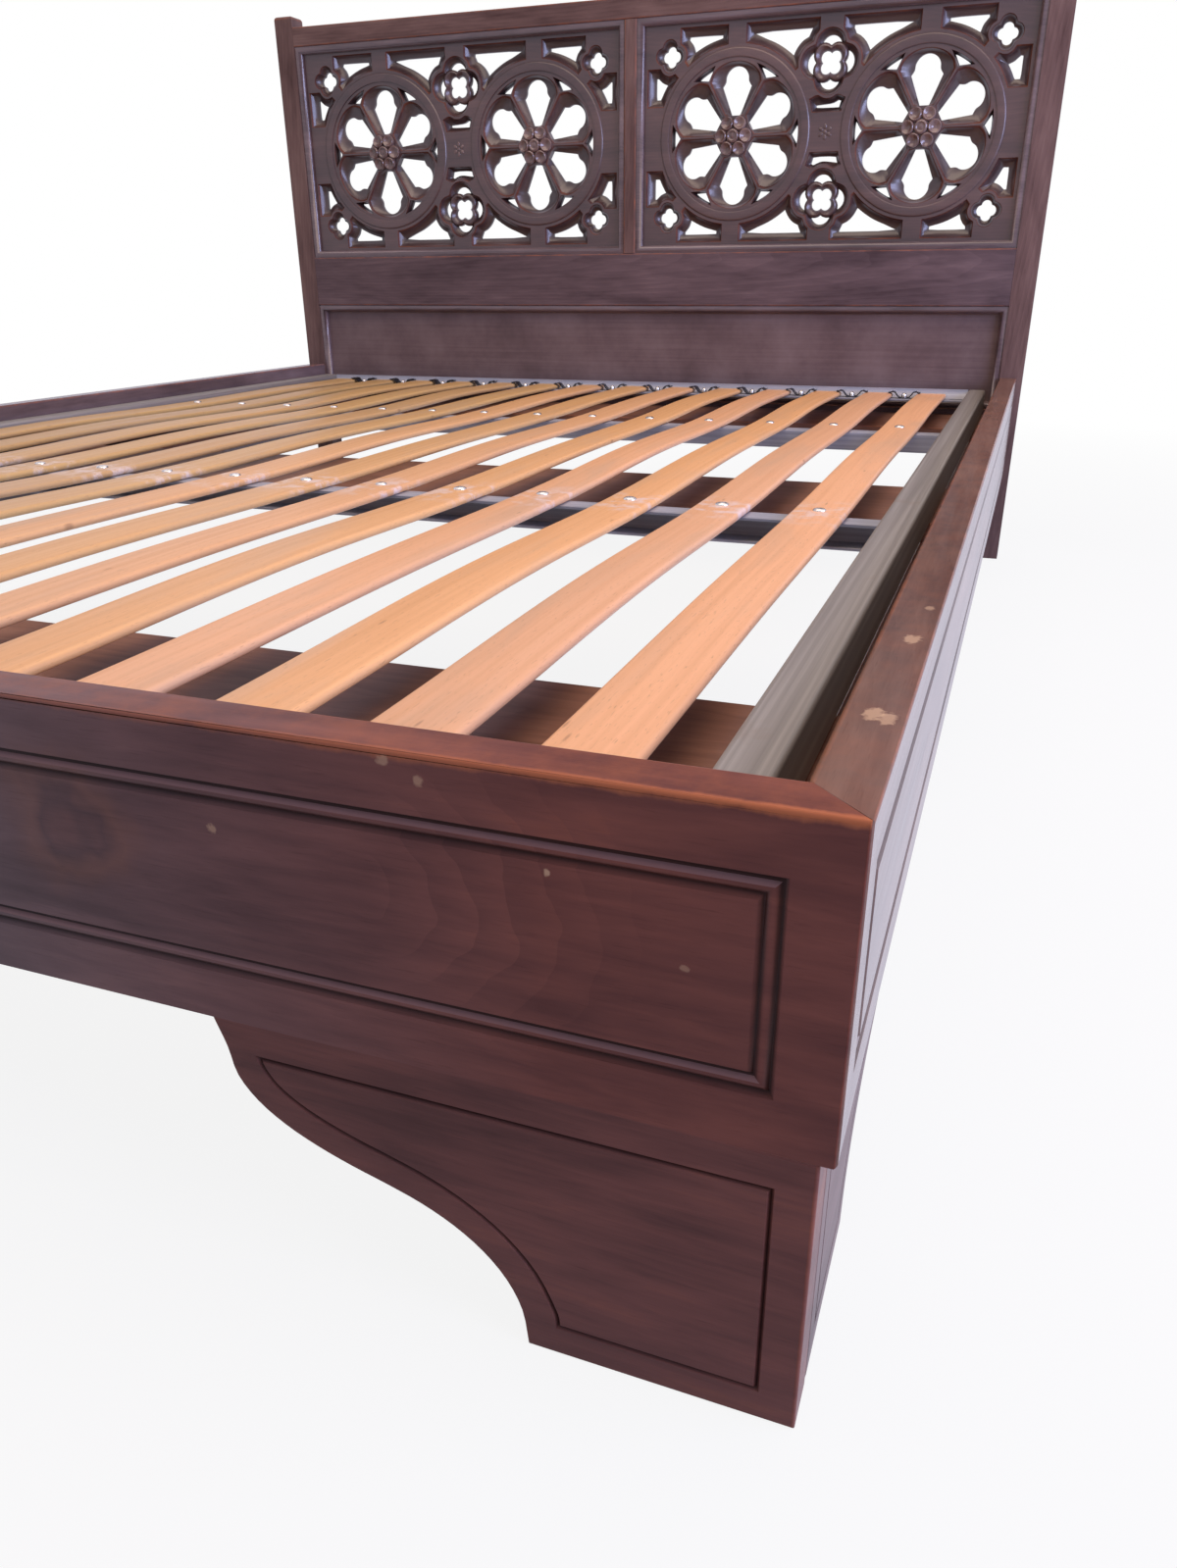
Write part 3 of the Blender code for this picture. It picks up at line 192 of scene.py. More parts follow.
# %% Floor
FLOOR_HALF = 30.0
FLOOR_DROP = 0.0005  # below the soles, so that the two faces don't fight
SHADOW_KEEP = 0.12  # share of the floor's look that takes light and shadow near the bed
FADE_START, FADE_STOP = 1.5, 3.4  # metres from the bed's middle

floor_paint, tree, shader = new_material("pale_floor_paint")
shader.inputs["Base Color"].default_value = colour("#D2D0CD")
shader.inputs["Roughness"].default_value = 0.9
shader.inputs["Specular IOR Level"].default_value = 0.1
place = add(tree, "ShaderNodeTexCoord").outputs["Object"]
away = add(tree, "ShaderNodeVectorMath", {0: place}, operation="LENGTH").outputs["Value"]
fade = add(tree, "ShaderNodeMapRange", {"Value": away, "From Min": FADE_START, "From Max": FADE_STOP,
                                        "To Min": 1 - SHADOW_KEEP, "To Max": 1.0})
mirrored, seen = white_rays(tree)
share = add(tree, "ShaderNodeMath", {0: seen, 1: fade}, operation="MULTIPLY")
white = add(tree, "ShaderNodeMix", {0: mirrored, 6: colour("#FFFFFF"), 7: colour(MIRRORED)}, data_type="RGBA")
white = add(tree, "ShaderNodeEmission", {"Color": white.outputs[2], "Strength": 1.0})
mixed = add(tree, "ShaderNodeMixShader", {0: share, 1: shader.outputs[0], 2: white})
tree.links.new(mixed.outputs[0], tree.nodes["Material Output"].inputs["Surface"])

floor_mesh = bpy.data.meshes.new("floor")
corners = [(u * FLOOR_HALF, v * FLOOR_HALF, -FLOOR_DROP) for u, v in ((-1, -1), (1, -1), (1, 1), (-1, 1))]
floor_mesh.from_pydata(corners, [], [(0, 1, 2, 3)])
floor_mesh.materials.append(floor_paint)
floor = bpy.data.objects.new("floor", floor_mesh)
scene.collection.objects.link(floor)
print("floor", 2 * FLOOR_HALF, "m wide")

# %% [markdown]
# ## Stained mahogany
#
# The frame is mahogany with a nearly black-brown stain, rubbed thin on the edges and left with a satin
# sheen. Plain sawn boards show arches of growth rings, because the saw cuts the tree's rings at a slant.
# So the material rebuilds the tree: a Wave texture makes rings round a heart line that leans through the
# board. Long fine noise adds the fibres, wide noise the uneven stain. Three attributes of the mesh, made
# further down, say where an edge is worn to the bare wood, where a groove is darkened by old polish and
# by painted shade, and where a painted highlight lies on the crown of a bead.

# %% Grain of the wood
RING_WIDTH = 0.0048  # metres between growth rings
FIBRE = (0.160, 0.0032, 0.0032)  # length and width of the fibre streaks, coarser than real so they show
PORE = (0.020, 0.0010, 0.0010)
FLAME = (0.085, 0.013, 0.013)
BLOTCH = (0.30, 0.075, 0.075)
FLAME_SHARE, FIBRE_SHARE, BLOTCH_SHARE = 0.30, 0.08, 0.54  # how much each noise moves the tone
DARKEST_TONE = 0.075
FIGURE_FULL, FIGURE_GONE = 0.02, 0.085  # metres from the point where arcs of rings show
WAVE_PERIOD = math.tau / 20  # a Wave texture at scale 1 repeats after this many metres
GRAIN_TURN = {"X": (0, 0, 0), "Y": (0, 0, -math.pi / 2), "Z": (0, math.pi / 2, 0)}


def grain_of(tree, place, along, heart, lean, ring, figure, shown):
    """Returns the wood's tone, light where it is high, and the noises of its fibres and pores."""
    grain = add(tree, "ShaderNodeMapping", {"Vector": place, "Rotation": GRAIN_TURN[along]})
    heart = Euler(GRAIN_TURN[along]).to_matrix() @ Vector(heart)
    tree_axis = add(tree, "ShaderNodeMapping", {"Vector": grain, "Location": heart, "Rotation": lean,
                                                "Scale": (4, 1, 1)}, vector_type="TEXTURE")
    rings = add(tree, "ShaderNodeTexWave", {"Vector": tree_axis, "Scale": WAVE_PERIOD / ring,
                                            "Distortion": 3.5, "Detail": 2.0, "Detail Scale": 95 * ring},
                wave_type="RINGS", rings_direction="X", wave_profile="SAW")
    noises = []
    for size in (FIBRE, PORE, FLAME, BLOTCH):
        scaled = add(tree, "ShaderNodeMapping", {"Vector": grain, "Scale": [1 / s for s in size]})
        noises.append(add(tree, "ShaderNodeTexNoise", {"Vector": scaled, "Scale": 1.0, "Detail": 3.0,
                                                       "Roughness": 0.6, "Distortion": 0.4}))
    fibre, pore, flame, blotch = noises
    tone = add(tree, "ShaderNodeMath", {0: rings.outputs["Fac"], 1: 0.5}, operation="SUBTRACT")
    if shown:
        off = add(tree, "ShaderNodeVectorMath", {0: place, 1: shown}, operation="DISTANCE")
        figure = add(tree, "ShaderNodeMapRange", {"Value": off.outputs["Value"], "From Min": FIGURE_FULL,
                                                  "From Max": FIGURE_GONE, "To Min": figure, "To Max": 0.0})
    tone = add(tree, "ShaderNodeMath", {0: tone, 1: figure, 2: DARKEST_TONE}, operation="MULTIPLY_ADD")
    for noise, share in ((flame, FLAME_SHARE), (fibre, FIBRE_SHARE), (blotch, BLOTCH_SHARE)):
        tone = add(tree, "ShaderNodeMath", {0: noise, 1: share, 2: tone}, operation="MULTIPLY_ADD")
    return tone, fibre, pore


print("rings", RING_WIDTH * 1000, "mm apart")

# %% [markdown]
# ## Wear
#
# An old bed tells where it was touched. Wear could be painted by hand on each piece, but nodes can find it.
# Rounded edges are rubbed to orange bare wood, broken up by noise. One long edge of the
# footboard is worn along its whole length, more so towards the corner that people pass. Small marks are
# spots round given points, with a ragged rim.

# %% Wear and marks
BARE_WOOD = "#B86D47"
MARK = "#CFAA86"
MARK_LENGTH = 1.9  # rubbed longer along the bed than across


def worn_edges(tree, place, look, worn_line):
    """Mixes bare wood into a look where edges are rubbed."""
    worn = add(tree, "ShaderNodeAttribute", attribute_name="edge").outputs["Fac"]
    rub = add(tree, "ShaderNodeTexNoise", {"Vector": place, "Scale": 38.0, "Detail": 4.0, "Roughness": 0.65})
    rubbed = add(tree, "ShaderNodeMapRange", {"Value": rub, "From Min": 0.38, "From Max": 0.75,
                                              "To Min": 0.05, "To Max": 0.5})
    worn = add(tree, "ShaderNodeMath", {0: worn, 1: rubbed}, operation="MULTIPLY")
    if worn_line:
        off = add(tree, "ShaderNodeVectorMath", {0: place, 1: (0, 1, 1)}, operation="MULTIPLY")
        off = add(tree, "ShaderNodeVectorMath", {0: off, 1: (0, *worn_line)}, operation="DISTANCE")
        wander = add(tree, "ShaderNodeMath", {0: rub, 1: -0.008, 2: off.outputs["Value"]},
                     operation="MULTIPLY_ADD")
        line = add(tree, "ShaderNodeMapRange", {"Value": wander, "From Min": -0.0022, "From Max": 0.0004,
                                                "To Min": 0.85, "To Max": 0.0})
        across = add(tree, "ShaderNodeSeparateXYZ", {"Vector": place})
        toward = add(tree, "ShaderNodeMapRange", {"Value": across.outputs["X"], "From Min": 0.40,
                                                  "From Max": 0.72, "To Min": 0.35, "To Max": 1.0})
        line = add(tree, "ShaderNodeMath", {0: line, 1: toward}, operation="MULTIPLY")
        worn = add(tree, "ShaderNodeMath", {0: worn, 1: line}, operation="MAXIMUM")
    return add(tree, "ShaderNodeMix", {0: worn, 6: look, 7: colour(BARE_WOOD)}, data_type="RGBA").outputs[2]


def spotted(tree, place, look, spots):
    """Mixes pale ragged marks into a look, each given as a place, a radius and its share."""
    if not spots:
        return look
    rag = add(tree, "ShaderNodeTexNoise", {"Vector": place, "Scale": 240.0, "Detail": 2.0, "Roughness": 0.6})
    for x, y, z, radius, bare in spots:
        off = add(tree, "ShaderNodeVectorMath", {0: place, 1: (x, y, z)}, operation="SUBTRACT")
        off = add(tree, "ShaderNodeVectorMath", {0: off, 1: (1.0, 1 / MARK_LENGTH, 1.0)}, operation="MULTIPLY")
        off = add(tree, "ShaderNodeVectorMath", {0: off}, operation="LENGTH")
        ragged = add(tree, "ShaderNodeMath", {0: rag, 1: -1.6 * radius, 2: off.outputs["Value"]},
                     operation="MULTIPLY_ADD")
        spot = add(tree, "ShaderNodeMapRange", {"Value": ragged, "From Min": -radius * 0.15,
                                                "From Max": radius * 0.25, "To Min": bare, "To Max": 0.0})
        look = add(tree, "ShaderNodeMix", {0: spot, 6: look, 7: colour(MARK)}, data_type="RGBA").outputs[2]
    return look


def knotted(tree, place, look, knot):
    """Mixes a grown-over knot into a look: a dark ring and a paler one about a point."""
    if not knot:
        return look
    sway = add(tree, "ShaderNodeTexNoise", {"Vector": place, "Scale": 22.0, "Detail": 3.0})
    off = add(tree, "ShaderNodeVectorMath", {0: place, 1: knot}, operation="DISTANCE")
    off = add(tree, "ShaderNodeMath", {0: sway, 1: 0.075, 2: off.outputs["Value"]}, operation="MULTIPLY_ADD")
    away = add(tree, "ShaderNodeMapRange", {"Value": off, "From Min": 0.028, "From Max": 0.085})
    rings = add(tree, "ShaderNodeValToRGB", {"Fac": away},
                stops=((0.15, "#7A4C3E"), (1.0, "#63403A"), (0.36, "#2B1A1C"), (0.58, "#95603F")))
    share = add(tree, "ShaderNodeMapRange", {"Value": off, "From Min": 0.050, "From Max": 0.085,
                                             "To Min": 0.28, "To Max": 0.0})
    return add(tree, "ShaderNodeMix", {0: share, 6: look, 7: rings}, data_type="RGBA").outputs[2]


print("bare wood", BARE_WOOD, "marks", MARK)

# %% [markdown]
# ## The whole finish
#
# This puts the parts together. The tone picks a colour between four shades of stain. Dark pores, old polish
# and painted shade in the grooves, a painted highlight on the crowns of the beads and the wear lie over it,
# and a thin satin coat on top.

# %% Stained mahogany
WARM_STAIN = ("#42231E", "#623A34", "#7C4A3F", "#9E5C46")
FOOT_STAIN = ("#3C221E", "#5A3833", "#72473F", "#925945")
RAIL_STAIN = ("#3D2822", "#5C443B", "#73574A", "#8C6D5D")
AGED_STAIN = ("#3D2B28", "#5D4742", "#745B54", "#8C7267")
FADED_STAIN = ("#392B2C", "#574748", "#6C5959", "#846E6C")
ROUGH_STAIN = ("#4F332B", "#714F43", "#876152", "#9D7666")
CARVED_STAIN = ("#2A1D1D", "#402C2B", "#523A37", "#694D46")
STAIN_STOPS = (0.28, 0.44, 0.58, 0.76)
PORE_DARK = "#2E1A17"
# Old polish and painted shade: the dark of grooves and hollows, more the deeper
POLISH_AND_SHADE = "#1C1110"
# Painted highlight: a pale colour on the upward faces of a bead's crown
CROWN_HIGHLIGHT_PAINT = "#8A6A66"
RUBBED_DULL = 0.25  # worn this far, the polish is gone
SATIN = (0.28, 0.42, 0.12)  # least and most roughness, and how strong the mirror-like part is
POLISHED = (0.12, 0.22, 0.70)
FRENCH_POLISH = (0.28, 0.40, 0.90)


def stained_mahogany(name, along, heart, lean, stain=WARM_STAIN, gloss=SATIN, ring=RING_WIDTH, figure=0.05,
                     shown=None, spots=(), worn_line=None, greyed=None, knot=None):
    """Mahogany with its grain along an axis, the tree's heart through a point, and its wear."""
    material, tree, shader = new_material(name)
    place = add(tree, "ShaderNodeTexCoord").outputs["Object"]
    tone, fibre, pore = grain_of(tree, place, along, heart, lean, ring, figure, shown)

    def shades(codes):
        pairs = list(zip(STAIN_STOPS, codes))
        return add(tree, "ShaderNodeValToRGB", {"Fac": tone}, stops=(pairs[0], pairs[3], pairs[1], pairs[2]))

    look = shades(stain).outputs[0]
    if greyed:
        across = add(tree, "ShaderNodeSeparateXYZ", {"Vector": place})
        share = add(tree, "ShaderNodeMapRange", {"Value": across.outputs["X"], "From Min": greyed[0],
                                                 "From Max": greyed[1], "To Min": 1.0, "To Max": 0.0})
        look = add(tree, "ShaderNodeMix", {0: share, 6: look, 7: shades(FADED_STAIN)},
                   data_type="RGBA").outputs[2]
    look = knotted(tree, place, look, knot)
    pores = add(tree, "ShaderNodeMapRange", {"Value": pore, "From Min": 0.58, "From Max": 0.74,
                                             "To Min": 0.0, "To Max": 0.25})
    grime_and_shade = add(tree, "ShaderNodeAttribute", attribute_name="grime_and_shade").outputs["Fac"]
    crown = add(tree, "ShaderNodeAttribute", attribute_name="crown").outputs["Fac"]
    # Grooves get old polish and painted shade, the crowns of beads a painted highlight
    for share, code in ((pores, PORE_DARK), (grime_and_shade, POLISH_AND_SHADE), (crown, CROWN_HIGHLIGHT_PAINT)):
        look = add(tree, "ShaderNodeMix", {0: share, 6: look, 7: colour(code)}, data_type="RGBA").outputs[2]
    look = worn_edges(tree, place, look, worn_line)
    look = spotted(tree, place, look, spots)
    tree.links.new(look, shader.inputs["Base Color"])
    sheen = add(tree, "ShaderNodeMapRange", {"Value": fibre, "To Min": gloss[0], "To Max": gloss[1]})
    tree.links.new(sheen.outputs[0], shader.inputs["Roughness"])
    shader.inputs["IOR"].default_value = 1.45
    rubbed = add(tree, "ShaderNodeAttribute", attribute_name="edge").outputs["Fac"]
    polish = add(tree, "ShaderNodeMapRange", {"Value": rubbed, "From Max": RUBBED_DULL, "To Min": gloss[2],
                                              "To Max": 0.04})
    tree.links.new(polish.outputs[0], shader.inputs["Specular IOR Level"])
    grooves = add(tree, "ShaderNodeMath", {0: pore, 1: fibre}, operation="ADD")
    bump = add(tree, "ShaderNodeBump", {"Height": grooves, "Strength": 0.12, "Distance": 0.0003})
    tree.links.new(bump.outputs[0], shader.inputs["Normal"])
    return material


print("stains", WARM_STAIN[1], FADED_STAIN[1], ROUGH_STAIN[1])

# %% [markdown]
# ## Copies with softened edges
#
# Nothing on an old bed has a knife edge: hands, knees and blankets have rounded it. A Bevel modifier on
# every edge would also chew up the fine beads and grooves. So each board is copied from its solid, its
# triangles are merged back into flat faces, and only the long outer edges are bevelled. The new faces are
# marked "edge", and the faces in a groove get "grime_and_shade" by their depth, old polish and painted
# shade together, for the stain to read.

# %% Copy a solid and round its edges
TOUCH = 1e-4  # two corners this close count as one
FLAT = math.radians(0.5)
SLANT = 0.3  # a normal that leans this much along two axes belongs to a mitre
LAYERS = ("edge", "grime_and_shade", "crown")


def with_layers(shape):
    """Gives a shape the layers that the stain reads, and returns it."""
    for layer in LAYERS:
        shape.loops.layers.float.new(layer)
    return shape


def copy_of(name):
    """Returns a merged copy of a solid, with its flat stretches as single faces, and its two corners."""
    shape = bmesh.new()
    shape.from_mesh(nodes[name].data)
    bmesh.ops.remove_doubles(shape, verts=shape.verts, dist=TOUCH / 10)
    bmesh.ops.dissolve_limit(shape, angle_limit=FLAT, verts=shape.verts, edges=shape.edges)
    return with_layers(shape), *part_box(name)


def extremes(edge, low, high):
    """Returns, for each axis, -1 or 1 where an edge lies in the lowest or highest plane, or else 0."""
    first, second = (v.co for v in edge.verts)
    found = []
    for a in range(3):
        flat = abs(first[a] - second[a]) < TOUCH
        found.append(-1 if flat and abs(first[a] - low[a]) < TOUCH
                     else 1 if flat and abs(first[a] - high[a]) < TOUCH else 0)
    return found


def mitred(edge):
    """Tells if one of an edge's faces is a mitre, slanting across two axes."""
    return any(sorted(abs(c) for c in face.normal)[1] > SLANT for face in edge.link_faces)


def round_edges(shape, edges, radius, segments=3, rubbed=1.0):
    """Rounds edges, and marks the rounded faces as worn."""
    made = bmesh.ops.bevel(shape, geom=edges, offset=radius, offset_type="OFFSET", segments=segments,
                           profile=0.5, affect="EDGES", clamp_overlap=False)
    worn = shape.loops.layers.float["edge"]
    for face in made["faces"]:
        for loop in face.loops:
            loop[worn] = rubbed


print("corners within", TOUCH * 1000, "mm count as one")

# %% [markdown]
# The same layers also say where a top is rubbed and where a groove is darkened by old polish and by painted
# shade. Each shape then becomes a piece: its flat faces stay flat through a Weighted Normal modifier, and it
# is tied to a body of the bed.

# %% Mark a shape and make a piece of it
SMOOTH_UNDER = math.radians(50)
LEVEL = 0.9  # a normal that points up this much belongs to a top
GROOVE = 0.003  # the deepest groove
DARKEN_FROM, DARKEN_FULL = 0.0008, 0.0015  # depths between which the groove darkens, with old polish and painted shade
# how dark a groove gets, with old polish and painted shade
GROOVE_GRIME_AND_SHADE = 0.8


def rub_top(shape, share):
    """Marks a board's top as a little worn."""
    shape.normal_update()
    worn = shape.loops.layers.float["edge"]
    for face in shape.faces:
        if face.normal.z > LEVEL:
            for loop in face.loops:
                loop[worn] = share


def darken_grooves(shape, axis, front, inwards):
    """Darkens what lies in a groove cut into a board's front, more the deeper: old polish and painted shade."""
    grime_and_shade = shape.loops.layers.float["grime_and_shade"]
    for face in shape.faces:
        depths = [(v.co[axis] - front) * inwards for v in face.verts]
        if max(depths) < GROOVE + TOUCH and max(depths) > TOUCH:
            for loop in face.loops:
                depth = (loop.vert.co[axis] - front) * inwards
                loop[grime_and_shade] = GROOVE_GRIME_AND_SHADE * min(1.0, max(0.0, (depth - DARKEN_FROM) / (DARKEN_FULL - DARKEN_FROM)))


def finish_piece(name, shape, material, body, replaced=()):
    """Makes a piece from a shape, with flat faces that stay flat, on a body."""
    mesh = bpy.data.meshes.new(name)
    shape.to_mesh(mesh)
    shape.free()
    mesh.materials.append(material)
    mesh.shade_smooth()
    mesh.set_sharp_from_angle(angle=SMOOTH_UNDER)
    piece = bpy.data.objects.new(name, mesh)
    scene.collection.objects.link(piece)
    weighted = piece.modifiers.new("flat_faces", "WEIGHTED_NORMAL")
    weighted.keep_sharp = True
    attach(piece, body)
    if replaced:
        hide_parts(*replaced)
    return piece


print("edges under", round(math.degrees(SMOOTH_UNDER)), "degrees shade smooth")

# %% [markdown]
# ## Footboard and side rails
#
# The three boards meet in mitres at the corners. Each keeps a routed bead round its face. The mitre itself
# stays tight, so its own edges aren't rounded. Instead a plane trims the sharp outer corner, where both
# boards are rubbed together. The footboard's upper front edge is worn to orange bare wood.

# %% Round a bead and trim a corner
CORNER_TRIM = 0.0012  # how far the sharp outer corner is worn back
CORNER_RUB = 0.4  # how worn it looks
BEAD_CROWN = 0.00075  # depth of the bead's top below the face
BEAD_ROUND = 0.0016
BEAD_TURN = math.radians(20)  # flatter edges aren't part of the bead
HIGHLIGHT_FACING_UP = 0.15  # faces that look up this much get the painted highlight
CROWN_HIGHLIGHT_SHARE = 0.65  # share of painted highlight on the bead's crown


def round_bead(shape, axis, front, inwards):
    """Rounds the two edges of a bead's flat crown, and paints a highlight on the rounded faces that look up."""
    crown = [e for e in shape.edges if e.is_manifold and e.calc_face_angle() > BEAD_TURN
             and all(abs((v.co[axis] - front) * inwards - BEAD_CROWN) < TOUCH for v in e.verts)]
    made = bmesh.ops.bevel(shape, geom=crown, offset=BEAD_ROUND, offset_type="OFFSET", segments=3,
                           profile=0.5, affect="EDGES", clamp_overlap=True)
    painted_highlight = shape.loops.layers.float["crown"]
    shape.normal_update()
    # Only the rounded faces that look up get the painted highlight
    for face in made["faces"]:
        if face.normal.z > HIGHLIGHT_FACING_UP:
            for loop in face.loops:
                loop[painted_highlight] = CROWN_HIGHLIGHT_SHARE


def trim_corner(shape, corner, outwards):
    """Cuts a sharp upright corner back to a narrow worn face."""
    normal = Vector(outwards).normalized()
    plane = Vector(corner) - normal * CORNER_TRIM
    everything = shape.verts[:] + shape.edges[:] + shape.faces[:]
    cut = bmesh.ops.bisect_plane(shape, geom=everything, plane_co=plane, plane_no=normal, clear_outer=True)
    rim = [item for item in cut["geom_cut"] if isinstance(item, bmesh.types.BMEdge)]
    worn = shape.loops.layers.float["edge"]
    for face in bmesh.ops.holes_fill(shape, edges=rim)["faces"]:
        for loop in face.loops:
            loop[worn] = CORNER_RUB


print("bead rounded by", BEAD_ROUND * 1000, "mm")

# %% [markdown]
# The footboard was sawn near the tree's heart, so a few arcs of rings show on its face. It has faded to grey
# at the left, and it has a grown-over knot. The marks on it were rubbed, and each is given by its place.

# %% Footboard
BOARD_ROUND = 0.0025
TOP_WEAR = 0.70
# Rubbed marks: place, radius, and how bare the wood is there
FOOTBOARD_SPOTS = ((0.450, -0.99, 0.2785, 0.0028, 0.4), (0.6198, -0.99, 0.2867, 0.0020, 0.65),
                   (0.6802, -0.99, 0.2528, 0.0024, 0.3), (0.546, -0.99, 0.3273, 0.0035, 0.4),
                   (0.5615, -0.99, 0.3197, 0.0032, 0.4))
FIGURE_HEART = (0.5276, 0.262)  # where the arcs have their middle, across and up
FIGURE_RING = 0.0170
FIGURE_LEAN = (0, 0, math.radians(62))
FIGURE_SHOWN = (0.590, -0.99, 0.266)  # the arcs show round this point
FIGURE = 0.07  # how strong they are
GREYED = (0.28, 0.62)  # from all grey to not grey, across the bed
KNOT = (0.3613, -0.99, 0.2696)

shape, low, high = copy_of("footboard")
heart = Vector((FIGURE_HEART[0], low.y, FIGURE_HEART[1]))
stain = stained_mahogany("stained_mahogany_footboard", "X", heart, FIGURE_LEAN, ring=FIGURE_RING, figure=FIGURE,
                         shown=FIGURE_SHOWN, spots=FOOTBOARD_SPOTS, worn_line=(low.y, high.z), greyed=GREYED,
                         knot=KNOT)
rub_top(shape, TOP_WEAR)
round_bead(shape, 1, low.y, 1)
darken_grooves(shape, 1, low.y, 1)
for x, side in ((low.x, -1), (high.x, 1)):
    trim_corner(shape, (x, low.y, 0), (side, -1, 0))
edges = []
for e in shape.edges:
    flat = extremes(e, low, high)
    if e.is_manifold and flat[1] and flat[2] > 0:
        edges.append(e)
round_edges(shape, edges, BOARD_ROUND)
finish_piece("footboard_worn", shape, stain, "bed_frame", ["footboard"])
print("footboard with", len(FOOTBOARD_SPOTS), "marks and", len(edges), "rounded edges")

# %% [markdown]
# The side rails are polished more than the footboard, and at a low angle their faces mirror the room. The
# right one has four rubbed marks on top. Edges of the mitres stay sharp, so that the corners close.

# %% Side rails
HEART_DEPTH = 0.060  # from the board's middle to the tree's heart
HEART_LENGTH, HEART_RISE = 0.1, 0.02  # where the heart passes, along the bed and above the board's middle
RAIL_LEAN = (0, 0, math.radians(6))
FAINT_FIGURE = 0.02
RAIL_SPOTS = ((0.7346, -0.8788, 0.332, 0.0050, 0.66), (0.7416, -0.8828, 0.332, 0.0043, 0.58),
              (0.7394, -0.757, 0.332, 0.0047, 0.6), (0.7426, -0.6895, 0.332, 0.0030, 0.45))

for name, side in (("left", -1), ("right", 1)):
    shape, low, high = copy_of(f"{name}_side_rail")
    outer = high.x if side > 0 else low.x
    heart = (low + high) / 2 + Vector((-side * HEART_DEPTH, 0, HEART_RISE))
    heart.y = HEART_LENGTH
    stain = stained_mahogany(f"stained_mahogany_{name}_rail", "Y", heart, RAIL_LEAN,
                             RAIL_STAIN if side > 0 else FADED_STAIN, POLISHED, figure=FAINT_FIGURE,
                             spots=RAIL_SPOTS if side > 0 else ())
    rub_top(shape, TOP_WEAR / 2)
    round_bead(shape, 0, outer, -side)
    darken_grooves(shape, 0, outer, -side)
    trim_corner(shape, (outer, low.y, 0), (side, -1, 0))
    edges = [e for e in shape.edges if e.is_manifold and not mitred(e)
             and extremes(e, low, high)[0] and extremes(e, low, high)[2]]
    round_edges(shape, edges, BOARD_ROUND)
    finish_piece(f"{name}_side_rail_worn", shape, stain, "bed_frame", [f"{name}_side_rail"])
print("2 side rails, rounded by", BOARD_ROUND * 1000, "mm")

# %% [markdown]
# ## Smooth outlines
#
# The feet and the carved panels have curved outlines, which their solids follow in short straight steps.
# A Subdivision Surface modifier would round them, but also every corner that has to stay. So the outlines
# are read from a solid as rings of points, and each ring gets more points on curves between its corners.

# %% Read the outlines of a solid
FACING_FRONT = 0.99  # a face with less than this of its normal along the axis is a slope or a wall


def rings_at(node, axis, level):
    """Returns a solid's closed outlines at a level along an axis, counter-clockwise as flat points."""
    solid = bmesh.new()
    solid.from_mesh(nodes[node].data)
    bmesh.ops.remove_doubles(solid, verts=solid.verts, dist=TOUCH / 10)
    across = 0 if axis == 1 else 1
    links = {}
    for edge in solid.edges:
        sloping = any(abs(face.normal[axis]) < FACING_FRONT for face in edge.link_faces)
        if sloping and all(abs(v.co[axis] - level) < TOUCH for v in edge.verts):
            first, second = edge.verts
            links.setdefault(first, []).append(second)
            links.setdefault(second, []).append(first)
    rings = []
    while links:
        start = next(iter(links))
        ring = [start]
        while True:
            onward = [v for v in links[ring[-1]] if v not in ring[-2:]]
            following = next((v for v in onward if v is not start), None)
            if following is None or following in ring:
                break
            ring.append(following)
        for vert in ring:
            del links[vert]
        points = [Vector((v.co[across], v.co.z)) for v in ring]
        area = sum(points[k - 1].cross(p) for k, p in enumerate(points))
        rings.append(points if area > 0 else points[::-1])
    solid.free()
    return rings


def span_of(ring):
    """Returns how wide a ring is."""
    return max(p.x for p in ring) - min(p.x for p in ring)


def middle_of(ring):
    """Returns the mean of a ring's points."""
    return sum(ring, Vector((0, 0))) / len(ring)


def matched(ring, others):
    """Finds the ring behind another one, and starts it at the nearest corner."""
    back = min(others, key=lambda r: (middle_of(r) - middle_of(ring)).length)
    if len(back) != len(ring):
        return back
    shifts = range(len(back))
    best = min(shifts, key=lambda s: sum((p - back[(k + s) % len(back)]).length for k, p in enumerate(ring)))
    return [back[(k + best) % len(back)] for k in range(len(back))]


print("front rings of a foot:", len(rings_at("left_foot_front", 1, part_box("left_foot_front")[0].y)))

# %% [markdown]
# A curve through points needs to know which points are corners. Here a sharp turn is a corner. Between
# two points runs a Hermite curve, a cubic that leaves one point and reaches the next in given directions.

# %% Smooth a ring, and join two
CORNER_LEFT = math.radians(45)  # sharper turns than these stay corners
CORNER_RIGHT = math.radians(-36)
CURVE_STEPS = 3


def corners_of(ring):
    """Tells, for each point of a ring, if it is a corner."""
    sharp = []
    for k, point in enumerate(ring):
        before = point - ring[k - 1]
        after = ring[(k + 1) % len(ring)] - point
        turn = math.atan2(before.cross(after), before.dot(after))
        sharp.append(turn > CORNER_LEFT or turn < CORNER_RIGHT)
    return sharp


